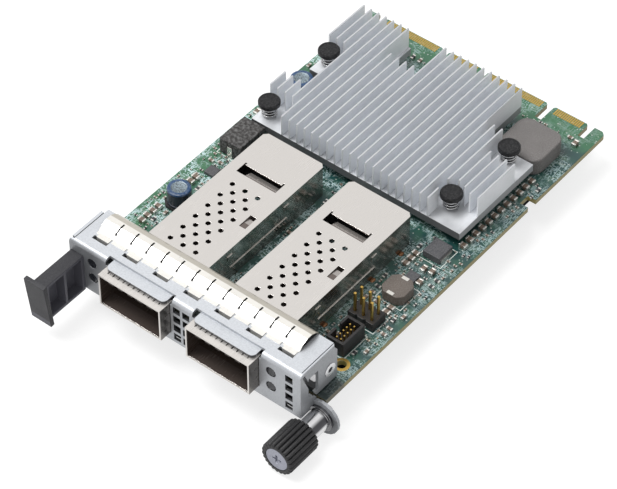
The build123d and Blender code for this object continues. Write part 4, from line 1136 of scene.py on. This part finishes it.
def dress_cages():
    """Both cages with their gaskets and receptacles."""
    for side in ("left", "right"):
        dress(f"cage_{side}", finish("cage"), edge=0.07, segments=2)
        dress(f"cage_gasket_{side}", finish("gasket"), edge=0.05)
        dress(f"receptacle_{side}", finish("dark_inside"), edge=0.1, segments=2)


def hang_mouth_tabs(count, pitch):
    """Small sprung tabs under the top lip of each cage's mouth."""
    half_width = 0.75
    for side in ("left", "right"):
        low, high = box_mm(f"cage_{side}")
        tabs = bmesh.new()
        for index in range(count):
            x = middle_of(low, high)[0] + (index - (count - 1) / 2) * pitch
            add_block(tabs, (x - half_width, low.y + 0.2, high.z - 1.35),
                      (x + half_width, low.y + 0.35, high.z - 0.32))
        make_piece(f"cage_mouth_tabs_{side}", tabs, finish("mouth_tab"))


def set_receptacle_contacts(count, pitch):
    """Rows of contact springs above and below each receptacle's slot."""
    half, front, rear = 0.16, 0.3, 4.6
    lower_row, upper_row = 3.1, 4.4
    for side in ("left", "right"):
        low, high = box_mm(f"receptacle_{side}")
        contacts = bmesh.new()
        for index in range(count):
            x = middle_of(low, high)[0] + (index - (count - 1) / 2) * pitch
            for z in (lower_row, upper_row):
                add_block(contacts, (x - half, low.y + front, z - half), (x + half, low.y + rear, z + half))
        make_piece(f"receptacle_contacts_{side}", contacts, finish("gold"))


# Heat sink and its push pins


def dress_heat_sink():
    """Heat sink, and the processor and pad under it."""
    dress("heat_sink", finish("sink"), edge=0.08)
    dress("processor", finish("package"), edge=0.1)
    dress("thermal_pad", finish("compound"), edge=0.05)


def turn_push_pins(wire, turns):
    """Nylon pins with chamfered caps, and the springs under them."""
    barb, shank, cap = 1.5, 1.0, 2.9
    pins = bmesh.new()
    for low, high in solids_of("push_pins"):
        top, foot = high.z, low.z
        add_turned(pins, place_at(*middle_of(low, high)), [
            (0, foot), (0.6, foot), (barb, foot + 0.95), (barb, foot + 1.3), (shank, foot + 1.3), (shank, top - 1.4),
            (cap - 0.15, top - 1.4), (cap, top - 1.25), (cap, top - 0.35), (cap - 0.25, top), (cap - 0.6, top),
            (cap - 0.7, top - 0.1), (0, top - 0.1)])
    make_piece("push_pin_bodies", pins, finish("pin"), stands_for=["push_pins"], smooth=32)
    coils = bmesh.new()
    for low, high in solids_of("push_pin_springs"):
        mean_radius = (high.x - low.x - wire) / 2
        add_coil(coils, place_at(*middle_of(low, high), low.z), mean_radius, wire, high.z - low.z, turns)
    make_piece("push_pin_coils", coils, finish("spring"), stands_for=["push_pin_springs"], smooth=80)


# Thumbscrew


def screw_axis():
    """X and Z of the thumbscrew's axis, in millimetres."""
    low, high = box_mm("thumbscrew_screw")
    return (low.x + high.x) / 2, (low.z + high.z) / 2


def along_screw(y):
    """A frame on the thumbscrew's axis whose Z runs towards the card, from a place along Y."""
    x, z = screw_axis()
    return place_at(x, y, z) @ Matrix.Rotation(math.radians(-90), 4, "X")


def grip_radii(radius, depth, ridges, per_ridge=10, fullness=0.7):
    """Radii round the grip: broad round ridges with narrow valleys."""
    count = ridges * per_ridge
    return [radius - depth * (1 - abs(math.sin(math.pi * index / count * ridges)) ** fullness)
            for index in range(count)]


def mould_knob(sizes):
    """Ridged grip, open in front for the screw's head and behind for the barrel."""
    low, high = box_mm("thumbscrew_knob")
    at = along_screw(low.y)
    length = high.y - low.y
    radius, valley = sizes.knob_radius / mm, sizes.ridge_depth / mm
    head_bore, head_seat, barrel_bore, barrel_room = 3.22, 1.3, 3.2, 7.0
    builder = bmesh.new()
    rings = [add_ring(builder, at, grip_radii(radius - shrink, depth, sizes.ridge_count), height)
             for height, shrink, depth in (
                 (0.0, 0.5, 0.3), (0.12, 0.2, 0.5), (0.4, 0.0, valley),
                 (length - 0.4, 0.0, valley), (length - 0.12, 0.15, 0.5), (length, 0.4, 0.35))]
    count = len(rings[0])
    front, seat, rear, floor = (
        add_ring(builder, at, [bore] * count, height)
        for bore, height in ((head_bore, 0.0), (head_bore, head_seat), (barrel_bore, length),
                             (barrel_bore, length - barrel_room)))
    join_rings(builder, [seat, front, *rings, rear, floor])
    builder.faces.new(list(reversed(seat)))
    builder.faces.new(floor)
    make_piece("knob_grip", builder, finish("knob"), screw_parts, ["thumbscrew_knob"], smooth=50)


def cross_reach(angle, arm, waist):
    """Distance from the axis to the outline of a cross."""
    turn = (angle + math.pi / 4) % (math.pi / 2) - math.pi / 4
    return min(arm / math.cos(turn), waist / max(abs(math.sin(turn)), 1e-6))


def turn_screw():
    """Screw head with a cross recess, and the shank with its threaded tip."""
    low, high = box_mm("thumbscrew_screw")
    at = along_screw(low.y)
    length = high.y - low.y
    head_radius, head_thickness, face_radius, steps = 3.19, 1.2, 2.2, 96
    arm, waist, recess_depth = 1.4, 0.36, 0.55
    head = bmesh.new()
    add_turned(head, at, [(0, head_thickness), (head_radius, head_thickness), (head_radius, 0.12),
                          (head_radius - 0.11, 0.0), (face_radius, 0.0)], steps)
    cross = [cross_reach(2 * math.pi * step / steps, arm, waist) for step in range(steps)]
    join_rings(head, [
        add_ring(head, at, [face_radius] * steps, 0.0), add_ring(head, at, cross, 0.0),
        add_ring(head, at, [0.72 * reach for reach in cross], recess_depth),
        add_ring(head, at, [0], recess_depth + 0.1)])
    bmesh.ops.remove_doubles(head, verts=head.verts, dist=1e-7)
    bmesh.ops.recalc_face_normals(head, faces=head.faces)

    shank_radius, thread_radius, root_radius = 1.15, 1.5, 1.27
    thread_start, catch_start, tip_start, pitch = length - 2.4, length - 6.0, length - 0.5, 0.4
    shank = [(0, 1.0), (shank_radius, head_thickness), (shank_radius, catch_start), (thread_radius, catch_start),
             (thread_radius, thread_start)]
    height = thread_start
    while height < tip_start:
        shank += [(thread_radius, height), (root_radius, height + 0.12), (root_radius, height + 0.16),
                  (thread_radius, height + 0.28)]
        height += pitch
    shank += [(1.45, tip_start), (1.0, length), (0, length)]
    body = bmesh.new()
    add_turned(body, at, shank, 32)
    bmesh.ops.recalc_face_normals(body, faces=body.faces)
    make_piece("screw_head", head, finish("screw_head"), screw_parts, ["thumbscrew_screw"], smooth=30)
    make_piece("screw_shank", body, finish("steel"), screw_parts, smooth=35)


def turn_barrel():
    """Sleeve with its inner shoulder, and the collar clinched in the ear."""
    low, high = box_mm("thumbscrew_barrel")
    length = high.y - low.y
    screw_bore, spring_bore, rim_bore, sleeve, collar = 1.37, 2.38, 1.72, 3.0, 3.7
    shoulder_front, shoulder_rear, ear_front, clinch = 4.6, 5.4, 8.2, 2.4
    builder = bmesh.new()
    add_turned(builder, along_screw(low.y), [
        (screw_bore, shoulder_rear), (screw_bore, shoulder_front), (spring_bore, shoulder_front), (spring_bore, 0.0),
        (sleeve - 0.15, 0.0), (sleeve, 0.15), (sleeve, 7.3), (sleeve + 0.15, 7.45), (collar - 0.1, 7.5),
        (collar, 7.6), (collar, ear_front), (clinch, ear_front), (clinch, length), (rim_bore, length),
        (rim_bore, shoulder_rear), (screw_bore, shoulder_rear)], 72)
    make_piece("barrel_sleeve", builder, finish("polished"), stands_for=["thumbscrew_barrel"],
               smooth=30)


def wind_screw_spring(wire, turns):
    """The thumbscrew's spring, which the stroke shortens, built here at its free length from its seat on the spring
    body.
    """
    spring_low, spring_high = box_mm("thumbscrew_spring")
    free_length = spring_high.y - spring_low.y
    mean_radius = 1.8
    coil = bmesh.new()
    add_coil(coil, along_screw(spring_low.y), mean_radius, wire, free_length, turns)
    piece = make_piece("thumbscrew_coil", coil, finish("spring"), spring_parts, ["thumbscrew_spring"],
                       smooth=80)
    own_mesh(piece)


# Underside


def dress_underside():
    """Insulator sheet on its strips, and the screws from below."""
    dress("insulator_sheet", finish("film"), edge=0.04)
    dress("insulator_strips", finish("foam"), edge=0.1)
    dress("faceplate_screws", finish("steel"), edge=0.1)


# Stage


def rays_that_see_white(tree):
    """One for the rays that look at the stage: the camera's, and those in metal and glass."""
    path = tree.nodes.new("ShaderNodeLightPath")
    return place_most(tree, path.outputs["Is Camera Ray"], path.outputs["Is Glossy Ray"],
                      path.outputs["Is Transmission Ray"])


def build_floor(look):
    """Pale paper under the part, clear when it is seen from below."""
    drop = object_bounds()[0].z - look.floor_drop
    reach, glow_strength = 0.9, 0.75
    builder = bmesh.new()
    builder.faces.new([builder.verts.new((x, y, drop))
                       for x, y in ((-reach, -reach), (reach, -reach), (reach, reach), (-reach, reach))])
    mesh = bpy.data.meshes.new("studio_floor")
    builder.to_mesh(mesh)
    builder.free()
    floor = bpy.data.objects.new("studio_floor", mesh)
    bpy.context.scene.collection.objects.link(floor)
    material, tree, shader = start_finish("studio_paper", 0.0, 0.9)
    paper = place_noise(tree, place_coordinates(tree), 0.4)
    tree.links.new(place_mix(tree, paper, (0.3, 0.3, 0.3), (0.31, 0.31, 0.31)), shader.inputs["Base Color"])
    glow = tree.nodes.new("ShaderNodeEmission")
    glow.inputs["Color"].default_value = (1, 1, 1, 1)
    tree.links.new(place_product(tree, rays_that_see_white(tree), glow_strength), glow.inputs["Strength"])
    both = tree.nodes.new("ShaderNodeAddShader")
    tree.links.new(shader.outputs["BSDF"], both.inputs[0])
    tree.links.new(glow.outputs["Emission"], both.inputs[1])
    facing = tree.nodes.new("ShaderNodeNewGeometry")
    clear = tree.nodes.new("ShaderNodeBsdfTransparent")
    shown = tree.nodes.new("ShaderNodeMixShader")
    tree.links.new(facing.outputs["Backfacing"], shown.inputs[0])
    tree.links.new(both.outputs["Shader"], shown.inputs[1])
    tree.links.new(clear.outputs["BSDF"], shown.inputs[2])
    tree.links.new(shown.outputs["Shader"], tree.nodes["Material Output"].inputs["Surface"])
    mesh.materials.append(material)
    floor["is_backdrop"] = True


def build_sky(look):
    """Even light from all round, white where it is looked at."""
    world = bpy.data.worlds.new("studio_sky")
    bpy.context.scene.world = world
    world.use_nodes = True
    tree = world.node_tree
    background = tree.nodes["Background"]
    background.inputs["Color"].default_value = (1, 1, 1, 1)
    seen = place_product(tree, rays_that_see_white(tree), 1 - look.sky)
    tree.links.new(place_math(tree, "ADD", look.sky, seen), background.inputs["Strength"])


def build_lamps(look):
    """A large soft lamp above the left, and a weak one in front on the right."""
    target = Vector((0, 0.05, 0))
    for name, place, share in (("large_soft_lamp", (-0.28, -0.12, 0.8), 1.0),
                               ("front_fill_lamp", (0.45, -0.6, 0.35), 0.08)):
        light = bpy.data.lights.new(name, "AREA")
        light.size = 0.5
        light.energy = look.lamp * share
        lamp = bpy.data.objects.new(name, light)
        bpy.context.scene.collection.objects.link(lamp)
        lamp.location = place
        lamp.rotation_mode = "QUATERNION"
        lamp.rotation_quaternion = (Vector(place) - target).to_track_quat("Z", "Y")


def set_camera():
    """The photograph's view: a long lens from the front right, above."""
    azimuth, elevation, roll = math.radians(38.688), math.radians(46.154), math.radians(-0.032)
    place = (0.30331, -0.33770, 0.49956)
    photo_width, focal_length, sensor_width = 617, 2828.16, 36
    right = Vector((math.cos(azimuth), math.sin(azimuth), 0))
    back = Vector((math.sin(azimuth) * math.cos(elevation), -math.cos(azimuth) * math.cos(elevation),
                   math.sin(elevation)))
    up = back.cross(right)
    turned_right = right * math.cos(roll) + up * math.sin(roll)
    turned_up = up * math.cos(roll) - right * math.sin(roll)
    data = bpy.data.cameras.new("photo_camera")
    data.sensor_width = sensor_width
    data.lens = focal_length * sensor_width / photo_width
    data.clip_start, data.clip_end = 0.01, 10
    camera = bpy.data.objects.new("photo_camera", data)
    bpy.context.scene.collection.objects.link(camera)
    rotation = Matrix((turned_right, turned_up, back)).transposed()
    camera.matrix_world = Matrix.Translation(place) @ rotation.to_4x4()
    bpy.context.scene.camera = camera


# Operators


class DressBoard(bpy.types.Operator):
    """Board, its contacts, printed outlines and solder"""
    bl_idname = "card.dress_board"
    bl_label = "Board"

    def execute(self, context):
        dress_board()
        print_outlines(context.scene.piece_sizes)
        return {"FINISHED"}


class DressChips(bpy.types.Operator):
    """Tiny chips, chip capacitors and can capacitors"""
    bl_idname = "card.dress_chips"
    bl_label = "Chips and capacitors"

    def execute(self, context):
        sizes = context.scene.piece_sizes
        scatter_tiny_chips(context.scene.board_look.tiny_chip_count, sizes.chip_end_share)
        wrap_chip_capacitors(sizes.chip_end_share)
        turn_can_capacitors(sizes.can_radius / mm)
        return {"FINISHED"}


class DressInductors(bpy.types.Operator):
    """Inductors, diode and headers"""
    bl_idname = "card.dress_inductors"
    bl_label = "Inductors and headers"

    def execute(self, context):
        mould_inductors()
        wrap_diode()
        dress_headers()
        return {"FINISHED"}


class DressFaceplate(bpy.types.Operator):
    """Faceplate, finger strip, pull tab and clinch nut"""
    bl_idname = "card.dress_faceplate"
    bl_label = "Faceplate"

    def execute(self, context):
        dress_faceplate()
        return {"FINISHED"}


class DressCages(bpy.types.Operator):
    """Module cages, their gaskets and receptacles, with their tabs and contacts"""
    bl_idname = "card.dress_cages"
    bl_label = "Module cages"

    def execute(self, context):
        sizes = context.scene.piece_sizes
        dress_cages()
        hang_mouth_tabs(sizes.mouth_tab_count, sizes.mouth_tab_pitch / mm)
        set_receptacle_contacts(sizes.contact_count, sizes.contact_pitch / mm)
        return {"FINISHED"}


class DressHeatSink(bpy.types.Operator):
    """Heat sink, processor, push pins and their springs"""
    bl_idname = "card.dress_heat_sink"
    bl_label = "Heat sink"

    def execute(self, context):
        dress_heat_sink()
        sizes = context.scene.piece_sizes
        turn_push_pins(sizes.pin_wire / mm, sizes.pin_turns)
        return {"FINISHED"}


class DressThumbscrew(bpy.types.Operator):
    """Knob, screw, barrel and spring of the captive thumbscrew"""
    bl_idname = "card.dress_thumbscrew"
    bl_label = "Thumbscrew"

    def execute(self, context):
        sizes = context.scene.piece_sizes
        mould_knob(sizes)
        turn_screw()
        turn_barrel()
        wind_screw_spring(sizes.screw_wire / mm, sizes.screw_turns)
        return {"FINISHED"}


class DressUnderside(bpy.types.Operator):
    """Insulator sheet, its strips and the screws from below"""
    bl_idname = "card.dress_underside"
    bl_label = "Underside"

    def execute(self, context):
        dress_underside()
        return {"FINISHED"}


class BuildStage(bpy.types.Operator):
    """Floor, sky, lamps and camera"""
    bl_idname = "card.build_stage"
    bl_label = "Stage"

    def execute(self, context):
        look = context.scene.stage_look
        set_camera()
        build_floor(look)
        build_sky(look)
        build_lamps(look)
        return {"FINISHED"}


class CardPanel(bpy.types.Panel):
    """Lists the operators, with the colours and sizes that they use"""
    bl_idname = "VIEW3D_PT_card"
    bl_label = "Adapter card"
    bl_space_type = "VIEW_3D"
    bl_region_type = "UI"
    bl_category = "Card"

    def draw(self, context):
        for operator in operators:
            self.layout.operator(operator.bl_idname)
        for name in looks:
            look = getattr(context.scene, name)
            box = self.layout.box()
            for key in look.bl_rna.properties.keys():
                if key not in ("rna_type", "name"):
                    box.prop(look, key)


looks = {"board_look": BoardLook, "metal_look": MetalLook, "moulded_look": MouldedLook, "stage_look": StageLook,
         "piece_sizes": PieceSizes}
operators = (DressBoard, DressChips, DressInductors, DressFaceplate, DressCages, DressHeatSink, DressThumbscrew,
             DressUnderside, BuildStage)


def register():
    """Adds the looks, the sizes, the operators and the panel."""
    for name, look in looks.items():
        bpy.utils.register_class(look)
        setattr(bpy.types.Scene, name, bpy.props.PointerProperty(type=look))
    for item in (*operators, CardPanel):
        bpy.utils.register_class(item)


def unregister():
    """Takes away what register added."""
    for item in (CardPanel, *reversed(operators)):
        bpy.utils.unregister_class(item)
    for name, look in looks.items():
        delattr(bpy.types.Scene, name)
        bpy.utils.unregister_class(look)


def main():
    """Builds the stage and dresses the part."""
    register()
    bpy.context.scene.view_settings.view_transform = "Standard"
    bpy.ops.card.build_stage()
    bpy.ops.card.dress_board()
    bpy.ops.card.dress_chips()
    bpy.ops.card.dress_inductors()
    bpy.ops.card.dress_faceplate()
    bpy.ops.card.dress_cages()
    bpy.ops.card.dress_heat_sink()
    bpy.ops.card.dress_thumbscrew()
    bpy.ops.card.dress_underside()


if __name__ == "__main__":
    main()
